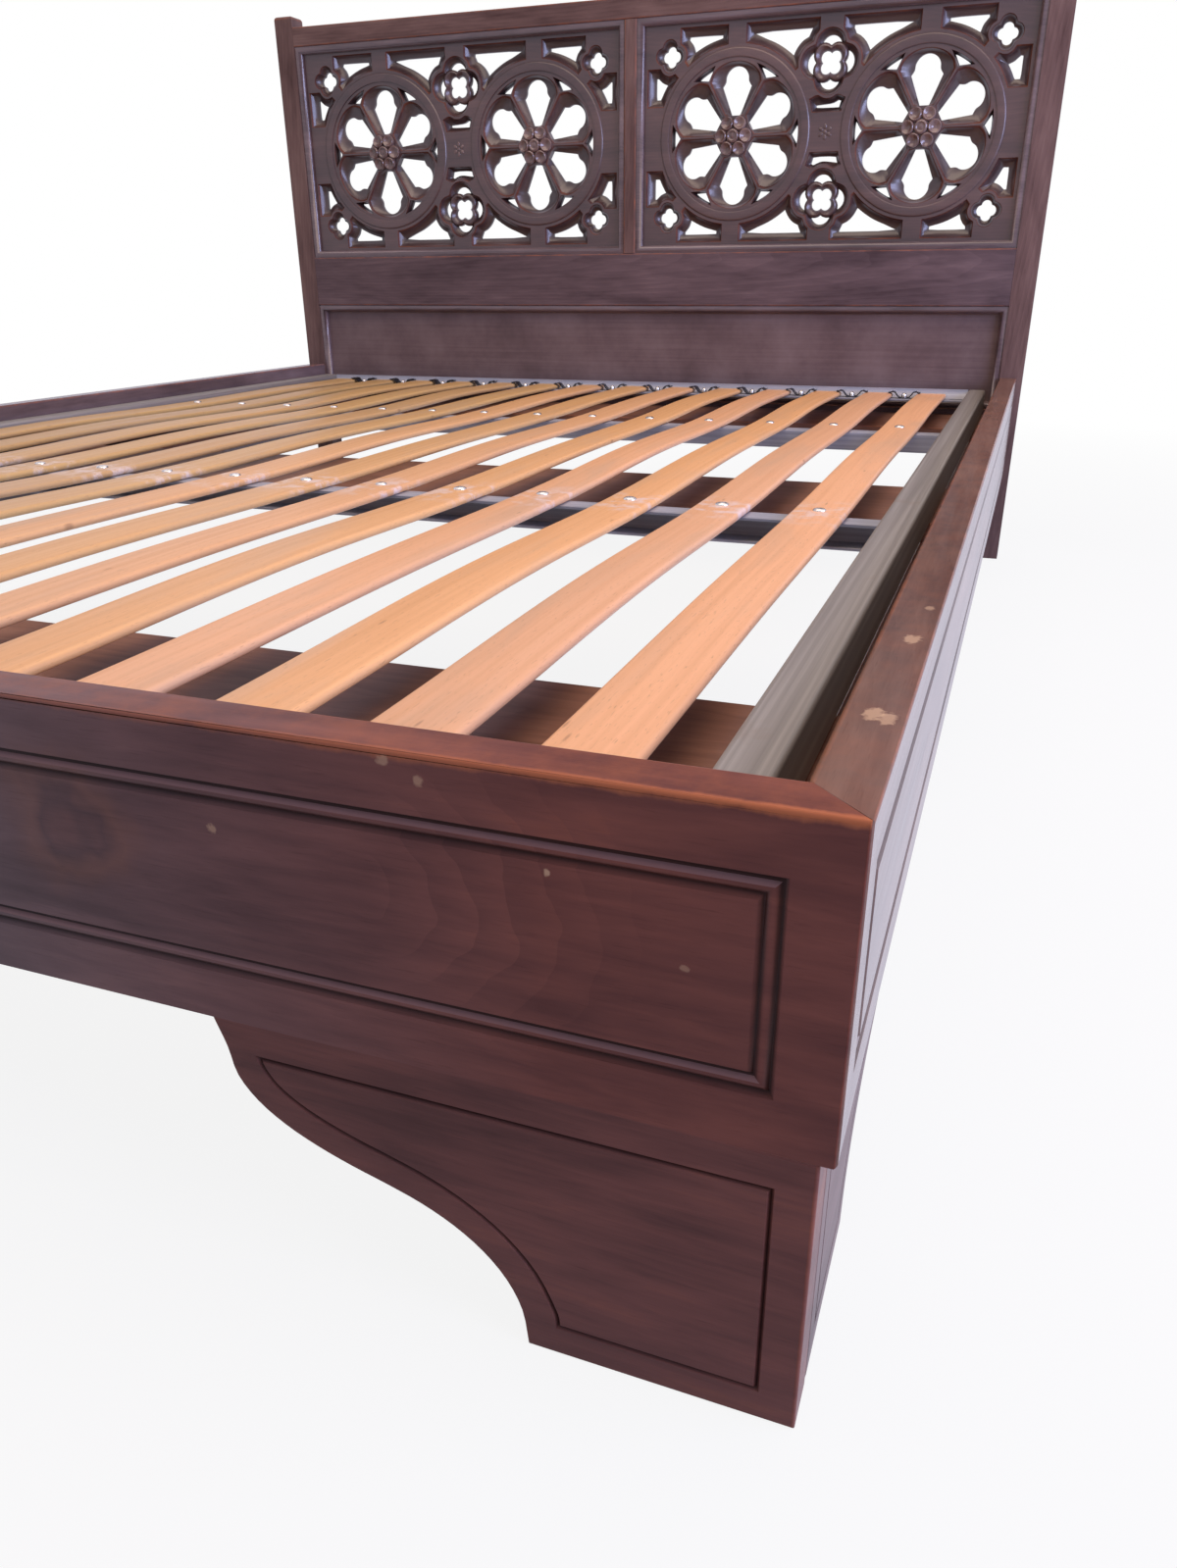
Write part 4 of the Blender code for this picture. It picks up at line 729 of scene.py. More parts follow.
def smoothed(ring, sharp):
    """Adds points between those of a ring, on curves that bend at every point that isn't a corner."""
    count = len(ring)
    points = []
    for k, start in enumerate(ring):
        stop = ring[(k + 1) % count]
        chord = stop - start
        leave = chord if sharp[k] else (stop - ring[k - 1]).normalized() * chord.length
        onward = ring[(k + 2) % count] - start
        arrive = chord if sharp[(k + 1) % count] else onward.normalized() * chord.length
        for step in range(CURVE_STEPS):
            t = step / CURVE_STEPS
            a = (1 + 2 * t) * (1 - t) ** 2
            b = t * (1 - t) ** 2
            points.append(start * a + leave * b + stop * (1 - a) - arrive * (t ** 2 * (1 - t)))
    return points


def turns(count):
    """Returns the angles of points spread evenly round a circle."""
    return [math.tau * k / count for k in range(count)]


def join_rings(shape, first, second):
    """Makes a band of faces between two rings of corners, and returns the faces."""
    after = [(k + 1) % len(first) for k in range(len(first))]
    return [shape.faces.new((first[k], first[n], second[n], second[k])) for k, n in enumerate(after)]


print("curves in", CURVE_STEPS, "steps")

# %% [markdown]
# ## Bracket feet
#
# Each foot is sawn to an ogee and has a line engraved along its edges. The outline, and the three rings of
# the engraved line, are read and made smooth, and the board is closed again round them. Its top meets the
# board above without a visible joint, so those edges stay sharp, and the others are rounded.

# %% Loft a foot
FOOT_ROUND = 0.0018
FOOT_RUB = 0.45  # how worn the feet's edges are
ENGRAVED = 0.002  # depth of the engraved line


def loft_foot(node, axis, front, back, top):
    """Returns a foot board with smooth curves, from the rings of its solid."""
    inwards = 1 if back > front else -1
    inner, outer, outline = sorted(rings_at(node, axis, front), key=span_of)
    bottom = matched(inner, rings_at(node, axis, front + inwards * ENGRAVED))
    outer = matched(inner, [outer])
    sharp = corners_of(outer)
    highest = max(p.y for p in outline)
    shape = with_layers(bmesh.new())

    def put(ring, corners, depth):
        made = []
        for p in smoothed(ring, corners):
            place = Vector((0, 0, top if p.y > highest - TOUCH else p.y))
            place[axis] = depth
            place[1 - axis] = p.x
            made.append(shape.verts.new(place))
        return made

    edge = [put(outline, corners_of(outline), depth) for depth in (front, back)]
    line = [put(ring, sharp, depth) for ring, depth in ((outer, front), (bottom, front + inwards * ENGRAVED),
                                                        (inner, front))]
    for first, second in ((edge[0], edge[1]), (line[0], line[1]), (line[1], line[2])):
        for k, corner in enumerate(first):
            shape.faces.new((corner, first[k - 1], second[k - 1], second[k]))
    rims = [shape.edges.get((v, ring[k - 1])) for ring in (edge[0], line[0]) for k, v in enumerate(ring)]
    bmesh.ops.triangle_fill(shape, use_beauty=True, edges=rims)
    shape.faces.new(line[2])
    shape.faces.new(edge[1])
    bmesh.ops.recalc_face_normals(shape, faces=shape.faces)
    return shape


print("engraved line", ENGRAVED * 1000, "mm deep")

# %% [markdown]
# Both feet are made from this, each with its front board and its side return. The front boards have the
# redder stain. Sharp edges of the outer and inner faces are rounded, apart from those at the top.

# %% Make the feet
FOOT_CORNER = math.radians(60)  # flatter edges stay as they are
FOOT_HEART = Vector((0.05, 0.05, 0.30))  # from a foot's middle
FOOT_LEAN = (0, math.radians(4), math.radians(8))

board_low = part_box("footboard")[0].z
for name, side in (("left", -1), ("right", 1)):
    for kind, axis, along in (("foot_front", 1, "X"), ("foot_return", 0, "Y")):
        node = f"{name}_{kind}"
        low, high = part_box(node)
        front, back = (low.y, high.y) if axis == 1 else (high.x, low.x)[::side]
        shape = loft_foot(node, axis, front, back, board_low)
        stain = stained_mahogany(f"stained_mahogany_{node}", along, (low + high) / 2 + FOOT_HEART, FOOT_LEAN,
                                 FOOT_STAIN if axis == 1 else AGED_STAIN, figure=FAINT_FIGURE)
        high.z = board_low
        darken_grooves(shape, axis, front, 1 if axis == 1 else -side)
        edges = []
        for e in shape.edges:
            flat = extremes(e, low, high)
            if e.is_manifold and flat[axis] and flat[2] <= 0 and e.calc_face_angle() > FOOT_CORNER:
                edges.append(e)
        round_edges(shape, edges, FOOT_ROUND, rubbed=FOOT_RUB)
        finish_piece(f"{node}_worn", shape, stain, "bed_frame", [node])
        print(node, "with", len(edges), "rounded edges")

# %% [markdown]
# ## Headboard frame
#
# Posts, rails and the centre stile are plain sticks, tenoned together. Their long edges are rounded, and
# the tops of the posts more so. Every stick is cut from another board, so each gets its own heart line.

# %% Posts, rails and stile
POST_ROUND = 0.0025
POST_TOP_ROUND = 0.006
STICK_LEAN = (0, math.radians(2), math.radians(3))
STICK_HEART = (0.03, 0.09)  # least and most, from a stick's middle along each axis
STICK_SEED = 4
sticks = {"left_headboard_post": "Z", "right_headboard_post": "Z", "headboard_top_rail": "X",
          "headboard_middle_rail": "X", "headboard_bottom_rail": "X", "headboard_centre_stile": "Z"}
draw = random.Random(STICK_SEED)
for node, along in sticks.items():
    shape, low, high = copy_of(node)
    heart = (low + high) / 2 + Vector([draw.uniform(*STICK_HEART) for _ in range(3)])
    greyer = node in ("headboard_middle_rail", "headboard_bottom_rail")
    stain = stained_mahogany(f"stained_mahogany_{node}", along, heart, STICK_LEAN,
                             FADED_STAIN if greyer else AGED_STAIN)
    run = "XYZ".index(along)
    edges = []
    tops = []
    for e in shape.edges:
        flat = extremes(e, low, high)
        if not e.is_manifold or sum(1 for f in flat if f) < 2:
            continue
        if along == "Z" and flat[2] > 0:
            tops.append(e)
        elif not flat[run]:
            edges.append(e)
    if node.endswith("post"):
        round_edges(shape, tops, POST_TOP_ROUND, 4)
        edges = [e for e in edges if e.is_valid]
    round_edges(shape, edges, POST_ROUND)
    finish_piece(f"{node}_worn", shape, stain, "bed_frame", [node])
print(len(sticks), "sticks")

# %% [markdown]
# ## Mouldings and plain boards
#
# The beads round the panels keep the shape of their solids: their profile is already there, and smooth
# shading makes it round. The hidden timbers that carry the base are only planed and roughly stained.

# %% Beads, ledgers, corner posts and cross boards
PLAIN_ROUND = 0.0015
BEAD_HEART = Vector((0, 0.05, 0.08))
PLAIN_HEART = Vector((0.1, 0.02, -0.05))
PLAIN_LEAN = (0, math.radians(3), math.radians(5))
LEDGER_SHADE_EXTRA = 0.0055  # wider than the solid, to fill the shaded slit between ledger and base so that no floor shows there

for node in ("left_tracery_bead", "right_tracery_bead", "lower_panel_bead"):
    shape, low, high = copy_of(node)
    stain = stained_mahogany(f"stained_mahogany_{node}", "X", (low + high) / 2 + BEAD_HEART,
                             STICK_LEAN, FADED_STAIN, POLISHED)
    finish_piece(f"{node}_soft", shape, stain, "bed_frame", [node])
plain = {"left_ledger": "Y", "right_ledger": "Y", "left_corner_post": "Z", "right_corner_post": "Z",
         "foot_cross_board": "X", "middle_cross_board": "X", "head_cross_board": "X"}
for node, along in plain.items():
    shape, low, high = copy_of(node)
    stain = stained_mahogany(f"rough_stained_{node}", along, (low + high) / 2 + PLAIN_HEART, PLAIN_LEAN,
                             ROUGH_STAIN)
    # The ledgers are widened into the slit between them and the base, where there is only shade
    if node.endswith("ledger"):
        inner = min(low.x, high.x, key=abs)
        for v in shape.verts:
            if abs(v.co.x - inner) < TOUCH:
                v.co.x -= math.copysign(LEDGER_SHADE_EXTRA, inner)
    edges = [e for e in shape.edges if e.is_manifold]
    round_edges(shape, edges, PLAIN_ROUND, 2)
    finish_piece(f"{node}_planed", shape, stain, "bed_frame", [node])
print(len(plain), "plain timbers")

# %% [markdown]
# ## Lower panel
#
# The plain panel under the carving is a thin veneered board whose stain has gone grey and blotchy. Its
# solid is right as it is, so it only gets a finish: wide cloudy noise over faint lengthwise grain.

# %% Lower panel
VENEER_STREAK = (0.35, 0.004, 0.004)
CLOUD = 0.09  # metres across a patch of faded stain

veneer, tree, shader = new_material("faded_stained_veneer")
place = add(tree, "ShaderNodeTexCoord").outputs["Object"]
scaled = add(tree, "ShaderNodeMapping", {"Vector": place, "Scale": [1 / s for s in VENEER_STREAK]})
streak = add(tree, "ShaderNodeTexNoise", {"Vector": scaled, "Scale": 1.0, "Detail": 4.0, "Roughness": 0.6})
cloud = add(tree, "ShaderNodeTexNoise", {"Vector": place, "Scale": 1 / CLOUD, "Detail": 5.0,
                                         "Roughness": 0.62})
tone = add(tree, "ShaderNodeMath", {0: cloud, 1: 0.45, 2: 0.24}, operation="MULTIPLY_ADD")
tone = add(tree, "ShaderNodeMath", {0: streak, 1: 0.18, 2: tone}, operation="MULTIPLY_ADD")
look = add(tree, "ShaderNodeValToRGB", {"Fac": tone},
           stops=((0.36, "#4E3E3D"), (0.78, "#877472"), (0.52, "#685452"), (0.62, "#76625F")))
tree.links.new(look.outputs[0], shader.inputs["Base Color"])
gloss = add(tree, "ShaderNodeMapRange", {"Value": cloud, "To Min": 0.38, "To Max": 0.58})
tree.links.new(gloss.outputs[0], shader.inputs["Roughness"])
shader.inputs["Specular IOR Level"].default_value = 0.3
bump = add(tree, "ShaderNodeBump", {"Height": streak, "Strength": 0.2, "Distance": 0.0004})
tree.links.new(bump.outputs[0], shader.inputs["Normal"])
panel = nodes["headboard_lower_panel"]
panel.data.materials.clear()
panel.data.materials.append(veneer)
print("lower panel", [round(v, 3) for v in panel.dimensions])

# %% [markdown]
# ## Pierced tracery
#
# The two carved panels are the heart of the bed: wheels with six spokes, quatrefoils between them, and a
# border. The solid has every pierced hole, with straight slopes. A carver's slopes are hollow, and in the
# fields round the wheels they are wide and meet in a valley before the hole opens. So each hole is lofted
# again from its smooth outline to the pierced one. Where the two have other corners, rays from the middle
# pair them. In a field, the pierced outline is what lies far enough from every side, as found by rays too.

# %% Pair the outlines of a hole
NEAR_ENOUGH = 0.00015


def seen_from(centre, ring, angles):
    """Returns where rays at some angles from a centre meet a ring."""
    spokes = sorted(((p - centre) for p in ring), key=lambda p: math.atan2(p.y, p.x))
    bearings = [math.atan2(p.y, p.x) for p in spokes]
    points = []
    for angle in angles:
        k = bisect.bisect_right(bearings, angle) % len(bearings)
        side = spokes[k] - spokes[k - 1]
        ray = Vector((math.cos(angle), math.sin(angle)))
        points.append(centre + ray * (spokes[k - 1].cross(side) / ray.cross(side)))
    return points


def nearest_on(ring, point):
    """Returns the point of a ring's sides that is nearest to a point."""
    best = None
    for k, stop in enumerate(ring):
        start = ring[k - 1]
        side = stop - start
        share = (point - start).dot(side) / max(side.length_squared, NEAR_ENOUGH ** 2)
        foot = start + side * min(1.0, max(0.0, share))
        if best is None or (foot - point).length < (best - point).length:
            best = foot
    return best


print("distances are true to", NEAR_ENOUGH * 1000, "mm")

# %% [markdown]
# A field's hole keeps its distance from all sides of the field. An offset of the outline would cross itself
# in the narrow corners. So the roomiest point is searched first, and from there rays walk outwards, each step
# as long as is safe, until they are near enough to a side.

# %% Hole of a field
FIELD_SLOPE = 0.0135  # from a field's outline to its hole
FIELD_SHARE = 0.62  # no more than this share of the way to the field's middle
HOLE_STEPS = 60
STRIDES = (0.004, 0.002, 0.001)  # of the search for the roomiest point
WAYS = 6  # tried at each stride, a radian apart


def field_hole(outer, middle):
    """Returns the outline of what lies far enough from all sides of a field."""
    def room(point):
        return (nearest_on(outer, point) - point).length

    for stride in STRIDES:
        moved = True
        while moved:
            ways = [middle + Vector((math.cos(t), math.sin(t))) * stride for t in range(WAYS)]
            best = max(ways, key=room)
            moved = room(best) > room(middle)
            middle = best if moved else middle
    slope = min(FIELD_SLOPE, FIELD_SHARE * room(middle))
    hole = []
    for t in turns(HOLE_STEPS):
        ray = Vector((math.cos(t), math.sin(t)))
        point = middle
        spare = room(point) - slope
        while spare > NEAR_ENOUGH:
            point = point + ray * spare
            spare = room(point) - slope
        hole.append(point)
    return hole


print("slopes of a field", FIELD_SLOPE * 1000, "mm wide")

# %% [markdown]
# ## Hollow slopes
#
# Each slope is a stack of rings from the front to the back of the panel. A boolean could cut the holes, but
# rings keep the faces in neat rows. The profile is a list of pairs: how far a ring has moved from the front
# outline to the pierced one, and how deep it lies. It starts nearly flat, drops into a hollow and ends in
# the straight sawn wall.

# %% Where a hollow ends
SOLID_DEPTH = 0.009  # where the slopes end in the solids
CARVED_DEPTH = 0.0125  # where the carver's hollows end
HOLLOW = ((0.0, 0.0), (0.05, 0.07), (0.14, 0.24), (0.30, 0.50), (0.52, 0.74), (0.78, 0.92), (1.0, 1.0))
FOIL_POINTS = 20  # points of a quatrefoil's outline in the solids
LARGE_FOIL = 0.08  # metres, between the spans of small and large quatrefoils
FIELD_POINTS = (10, 11, 15)  # points of the fields between wheels and border
WIDER = 1.7  # how many times wider than in the solids the quatrefoils' hollows are carved
SMALL_FOIL_OPENING = 0.62  # a small quatrefoil's hole as a share of its outline


def carved_to(ring, outer, inner):
    """Returns the outline where the hollow round a hole ends."""
    if len(ring) in FIELD_POINTS:
        hole = field_hole(outer, middle_of(inner))
        return [nearest_on(hole, p) for p in outer]
    if len(ring) == FOIL_POINTS and span_of(ring) < LARGE_FOIL:
        centre = middle_of(outer)
        return [centre.lerp(p, SMALL_FOIL_OPENING) for p in outer]
    share = WIDER if len(ring) == FOIL_POINTS else 1.0
    return [a.lerp(b, share) for a, b in zip(outer, inner)]


print("small quatrefoils open to", SMALL_FOIL_OPENING, "of their outline")

# %% [markdown]
# Now a whole panel: its border, the rings of every hole, and the front and the back, filled with triangles
# between them. The rims are rubbed, and old polish and painted shade darken the deeper rings.

# %% Loft a panel
BORDER_SLOPE = 0.012  # how much further out the fields' slopes start at the border
PANEL_GRIME_AND_SHADE = 0.45  # old polish and painted shade at the bottom of the hollows
PANEL_RUB = 0.6  # how worn the hollows' rims are
RUBBED_RINGS = 2


def pushed(place, least, most):
    """Returns a coordinate, moved outwards where it lies on the fields' border."""
    return place + BORDER_SLOPE * ((place > most - TOUCH) - (place < least + TOUCH))


def loft_panel(node):
    """Returns a carved panel lofted from the outlines of a solid, and its large quatrefoils' middles."""
    low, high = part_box(node)
    front, back = low.y, high.y
    rings = sorted(rings_at(node, 1, front), key=span_of)
    pierced = rings_at(node, 1, front + SOLID_DEPTH)
    border = rings.pop()
    fields = [p for ring in rings if len(ring) in FIELD_POINTS for p in ring]
    limits = [(min(p[a] for p in fields), max(p[a] for p in fields)) for a in range(2)]
    shape = with_layers(bmesh.new())
    worn = shape.loops.layers.float["edge"]
    grime_and_shade = shape.loops.layers.float["grime_and_shade"]

    def put(points, depth):
        return [shape.verts.new((p.x, depth, p.y)) for p in points]

    def band(first, second, rubbed=0.0):
        for face in join_rings(shape, first, second):
            for loop in face.loops:
                loop[worn] = rubbed
                # old polish and painted shade, darker the deeper
                loop[grime_and_shade] = min(PANEL_GRIME_AND_SHADE, PANEL_GRIME_AND_SHADE * (loop.vert.co.y - front) / CARVED_DEPTH)

    edge = [put(border, front), put(border, back)]
    band(*edge)
    fronts = [edge[0]]
    behind_front = dict(zip(*edge))
    for ring in rings:
        behind = matched(ring, pierced)
        outer = smoothed(ring, corners_of(ring))
        if len(behind) == len(ring):
            inner = smoothed(behind, corners_of(ring))
        else:
            inner = smoothed(behind, corners_of(behind))
            centre = middle_of(behind)
            angles = sorted({round(math.atan2(*(p - centre).yx), 4) for p in outer + inner})
            outer = seen_from(centre, outer, angles)
            inner = seen_from(centre, inner, angles)
        if len(ring) in FIELD_POINTS:
            outer = [Vector([pushed(p[a], *limits[a]) for a in range(2)]) for p in outer]
        inner = carved_to(ring, outer, inner)
        levels = [put([a.lerp(b, share) for a, b in zip(outer, inner)], front + CARVED_DEPTH * depth)
                  for share, depth in HOLLOW]
        levels.append(put(inner, back))
        for k, (first, second) in enumerate(zip(levels, levels[1:])):
            band(first, second, PANEL_RUB if k < RUBBED_RINGS else 0.0)
        fronts.append(levels[0])
        behind_front.update(zip(levels[0], levels[-1]))
    outline = [shape.edges.get((v, loop[k - 1])) for loop in fronts for k, v in enumerate(loop)]
    for face in bmesh.ops.triangle_fill(shape, use_beauty=True, edges=outline)["geom"]:
        if isinstance(face, bmesh.types.BMFace):
            shape.faces.new([behind_front[v] for v in reversed(face.verts)])
    bmesh.ops.remove_doubles(shape, verts=shape.verts, dist=TOUCH / 10)
    bmesh.ops.dissolve_degenerate(shape, edges=shape.edges, dist=TOUCH / 10)
    bmesh.ops.recalc_face_normals(shape, faces=shape.faces)
    foils = [middle_of(r) for r in rings if len(r) == FOIL_POINTS and span_of(r) > LARGE_FOIL]
    return shape, low, high, [Vector((p.x, front, p.y)) for p in foils]


print("hollows", CARVED_DEPTH * 1000, "mm deep in", len(HOLLOW), "rings")

# %% [markdown]
# Both panels are lofted in turn. Carvings were polished with shellac, which lies thick in the hollows, so
# they get the darkest stain and the strongest gloss.

# %% Make the panels
PANEL_HEART = Vector((0, 0.06, 0.10))

foil_places = []
for name in ("left", "right"):
    node = f"{name}_tracery_panel"
    shape, low, high, foils = loft_panel(node)
    foil_places += foils
    stain = stained_mahogany(f"stained_mahogany_{node}", "X", (low + high) / 2 + PANEL_HEART,
                             PLAIN_LEAN, CARVED_STAIN, FRENCH_POLISH)
    print(node, len(shape.faces), "faces,", sum(not e.is_manifold for e in shape.edges), "open edges")
    finish_piece(f"{node}_carved", shape, stain, "bed_frame", [node])

# %% [markdown]
# ## Wheel hoops
#
# Each wheel's rim carries a raised hoop with a fine step on both sides. It is turned like a plate: a
# small closed profile goes once round the wheel's axis. The rosettes' boxes say where the wheels are.

# %% Hoops on the wheels
WHEEL_RADIUS = 0.145
RIM_WIDTH = 0.025
HOOP_RISE = 0.0022
HOOP_SINK = 0.0005  # buried in the panel
HOOP_STEPS = 96
HOOP_PROFILE = ((0.0, -1.0), (0.02, 0.55), (0.14, 1.0), (0.80, 1.0), (0.93, 0.55), (1.0, -1.0))
HOOP_MARGIN = 0.0045
HOOP_HEART, HOOP_LEAN = (0, 1.05, 0.85), (0, 0.05, 0.08)

rosettes = [f"{side}_{place}_rosette" for side in ("left", "right") for place in ("inner", "outer")]
wheels = []
for node in rosettes:
    low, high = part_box(node)
    wheels.append(Vector(((low.x + high.x) / 2, high.y, (low.z + high.z) / 2)))
shape = with_layers(bmesh.new())
inner = WHEEL_RADIUS - RIM_WIDTH + HOOP_MARGIN
width = RIM_WIDTH - 2 * HOOP_MARGIN
for wheel in wheels:
    circles = []
    for share, rise in HOOP_PROFILE:
        radius = inner + share * width
        depth = wheel.y - (rise * HOOP_RISE if rise > 0 else -HOOP_SINK)
        circles.append([shape.verts.new((wheel.x + radius * math.cos(t), depth, wheel.z + radius * math.sin(t)))
                        for t in turns(HOOP_STEPS)])
    for k, ring in enumerate(circles):
        join_rings(shape, ring, circles[(k + 1) % len(circles)])
bmesh.ops.recalc_face_normals(shape, faces=shape.faces)
hoop_stain = stained_mahogany("stained_mahogany_hoops", "X", HOOP_HEART, HOOP_LEAN, CARVED_STAIN,
                              FRENCH_POLISH)
finish_piece("wheel_hoops", shape, hoop_stain, "bed_frame")
print(len(wheels), "hoops")

# %% [markdown]
# ## One tree that repeats a part
#
# Rosettes, rivets, clips, nuts and screws all come many times over. Copying objects in a loop would work,
# but Geometry Nodes do it in one place: a tree puts a part on every point of a mesh, with a little spread
# in size and turn, makes the copies real and gives them their finish. The tree is made once and used for
# each kind of part with other inputs.

# %% Start, end and run a tree
def start_tree(name, sockets):
    """Makes a geometry tree with named inputs, and returns it with its input node and input sockets."""
    tree = bpy.data.node_groups.new(name, "GeometryNodeTree")
    made = {}
    for label, kind in sockets.items():
        made[label] = tree.interface.new_socket(name=label, in_out="INPUT", socket_type=f"NodeSocket{kind}")
    tree.interface.new_socket(name="Geometry", in_out="OUTPUT", socket_type="NodeSocketGeometry")
    return tree, add(tree, "NodeGroupInput"), made


def end_tree(tree, geometry, finish):
    """Closes a tree: the instances are made real and get their material."""
    real = add(tree, "GeometryNodeRealizeInstances", {"Geometry": geometry})
    dressed = add(tree, "GeometryNodeSetMaterial", {"Geometry": real, "Material": finish})
    add(tree, "NodeGroupOutput", {"Geometry": dressed})


def run_tree(name, mesh, tree, sockets, values):
    """Runs a geometry tree on a mesh, and returns an object that keeps the result as a plain mesh."""
    holder = bpy.data.objects.new(name, mesh)
    scene.collection.objects.link(holder)
    modifier = holder.modifiers.new(tree.name, "NODES")
    modifier.node_group = tree
    for label, value in values.items():
        modifier[sockets[label].identifier] = value
    graph = bpy.context.evaluated_depsgraph_get()
    solid = bpy.data.meshes.new_from_object(holder.evaluated_get(graph))
    holder.modifiers.clear()
    holder.data = solid
    solid.shade_smooth()
    solid.set_sharp_from_angle(angle=SMOOTH_UNDER)
    return holder


print("a tree's result is kept as a plain mesh")

# %% [markdown]
# The tree itself turns the places into points and puts the part on each of them. Two Random Value nodes,
# both with the same fixed seed, make the copies a little smaller and turn them, as hands would.

# %% The repeating tree
repeat_tree, given, repeat_sockets = start_tree("repeat_a_part", {
    "Places": "Geometry", "Part": "Object", "Size spread": "Float", "Turn spread": "Float", "Seed": "Int",
    "Finish": "Material"})
given = given.outputs
points = add(repeat_tree, "GeometryNodeMeshToPoints", {"Mesh": given["Places"]})
part = add(repeat_tree, "GeometryNodeObjectInfo", {"Object": given["Part"]})
smallest = add(repeat_tree, "ShaderNodeMath", {0: 1.0, 1: given["Size spread"]}, operation="SUBTRACT")
size = add(repeat_tree, "FunctionNodeRandomValue", {2: smallest, 3: 1.0, 8: given["Seed"]}, data_type="FLOAT")
turned = add(repeat_tree, "ShaderNodeCombineXYZ", {"Z": given["Turn spread"]})
back_turned = add(repeat_tree, "ShaderNodeVectorMath", {0: turned, "Scale": -1.0}, operation="SCALE")
turn = add(repeat_tree, "FunctionNodeRandomValue", {0: back_turned, 1: turned, 8: given["Seed"]},
           data_type="FLOAT_VECTOR")
copies = add(repeat_tree, "GeometryNodeInstanceOnPoints", {
    "Points": points, "Instance": part.outputs["Geometry"], "Rotation": turn.outputs[0],
    "Scale": size.outputs[1]})
end_tree(repeat_tree, copies, given["Finish"])
print("tree with", len(repeat_tree.nodes), "nodes")

# %% [markdown]
# One function runs that tree for any part, and another turns a part on a lathe: a profile of radii and
# heights goes once round an axis.

# %% Repeat a part, and turn one
REPEAT_SEED = 7


def repeat(name, shape, places, finish, body, replaced=(), size_spread=0.0, turn_spread=0.0):
    """Puts a shape on many places as one piece."""
    bmesh.ops.recalc_face_normals(shape, faces=shape.faces)
    master_mesh = bpy.data.meshes.new(f"{name}_part")
    shape.to_mesh(master_mesh)
    shape.free()
    master = bpy.data.objects.new(f"{name}_part", master_mesh)
    scene.collection.objects.link(master)
    mesh = bpy.data.meshes.new(f"{name}_places")
    mesh.from_pydata([tuple(p) for p in places], [], [])
    piece = run_tree(name, mesh, repeat_tree, repeat_sockets, {
        "Part": master, "Size spread": size_spread, "Turn spread": turn_spread, "Seed": REPEAT_SEED,
        "Finish": finish})
    bpy.data.objects.remove(master)
    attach(piece, body)
    if replaced:
        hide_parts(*replaced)
    print(name, len(places), "times,", len(piece.data.polygons), "faces")
    return piece


def turned_shape(shape, profile, sides, place):
    """Adds a profile of radii and heights turned about an axis, closed where it meets the axis."""
    rings = []
    for radius, height in profile:
        rings.append([shape.verts.new(place @ Vector((radius * math.cos(t), radius * math.sin(t), height)))
                      for t in turns(sides)])
    shape.faces.new(rings[0])
    shape.faces.new(rings[-1][::-1])
    for first, second in zip(rings, rings[1:]):
        join_rings(shape, first, second)


print("repeats with seed", REPEAT_SEED)

# %% [markdown]
# ## Rosettes
#
# In the middle of each wheel sits a carved flower: six cupped petals about a small ringed knob. A petal is
# a round cup, turned once and set six times, and the cups press into each other, which gives the creases.

# %% Rosettes
PETALS = 6
PETAL_PLACE = 0.0215  # from the flower's middle to a petal's middle
PETAL_LEAN = math.radians(14)  # outwards
PETAL = ((0.0112, -0.004), (0.0122, 0.0045), (0.0116, 0.0078), (0.0100, 0.0092), (0.0082, 0.0084),
         (0.0058, 0.0062), (0.0030, 0.0050), (0.0008, 0.0048))
DISC = ((0.0255, 0.0), (0.0255, 0.003), (0.0235, 0.0042), (0.0150, 0.0042))
KNOB = ((0.0118, 0.002), (0.0118, 0.0090), (0.0102, 0.0112), (0.0080, 0.0116), (0.0062, 0.0098),
        (0.0046, 0.0096), (0.0030, 0.0104), (0.0010, 0.0108))
FACING = Matrix.Rotation(math.pi / 2, 4, "X")  # turns an upright shape to face the foot of the bed

ROSETTE_HEART, ROSETTE_LEAN = (0, 1.05, 0.2), (0, 0.04, 0.06)

carved = stained_mahogany("stained_mahogany_rosettes", "Z", ROSETTE_HEART, ROSETTE_LEAN, AGED_STAIN, POLISHED)
flower = bmesh.new()
turned_shape(flower, DISC, sides=48, place=FACING)
turned_shape(flower, KNOB, sides=32, place=FACING)
for t in turns(PETALS):
    spin = Matrix.Rotation(-t, 4, "Y") @ Matrix.Translation((PETAL_PLACE, 0, 0))
    turned_shape(flower, PETAL, 18, spin @ FACING @ Matrix.Rotation(PETAL_LEAN, 4, "Y"))
repeat("rosettes", flower, wheels, carved, "bed_frame", rosettes)

# %% [markdown]
# On the bridge between two wheels a much smaller flower is carved, hardly raised. Flat beads pressed into
# the wood are enough for it: one in the middle and six as petals.

# %% Small flowers
BUD = (0.0030, 0.0011, 0.0030, 1.0)
BUD_PETAL = (0.0044, 0.0010, 0.0028, 1.0)
BUD_PLACE = 0.00858  # from the flower's middle to a petal's middle

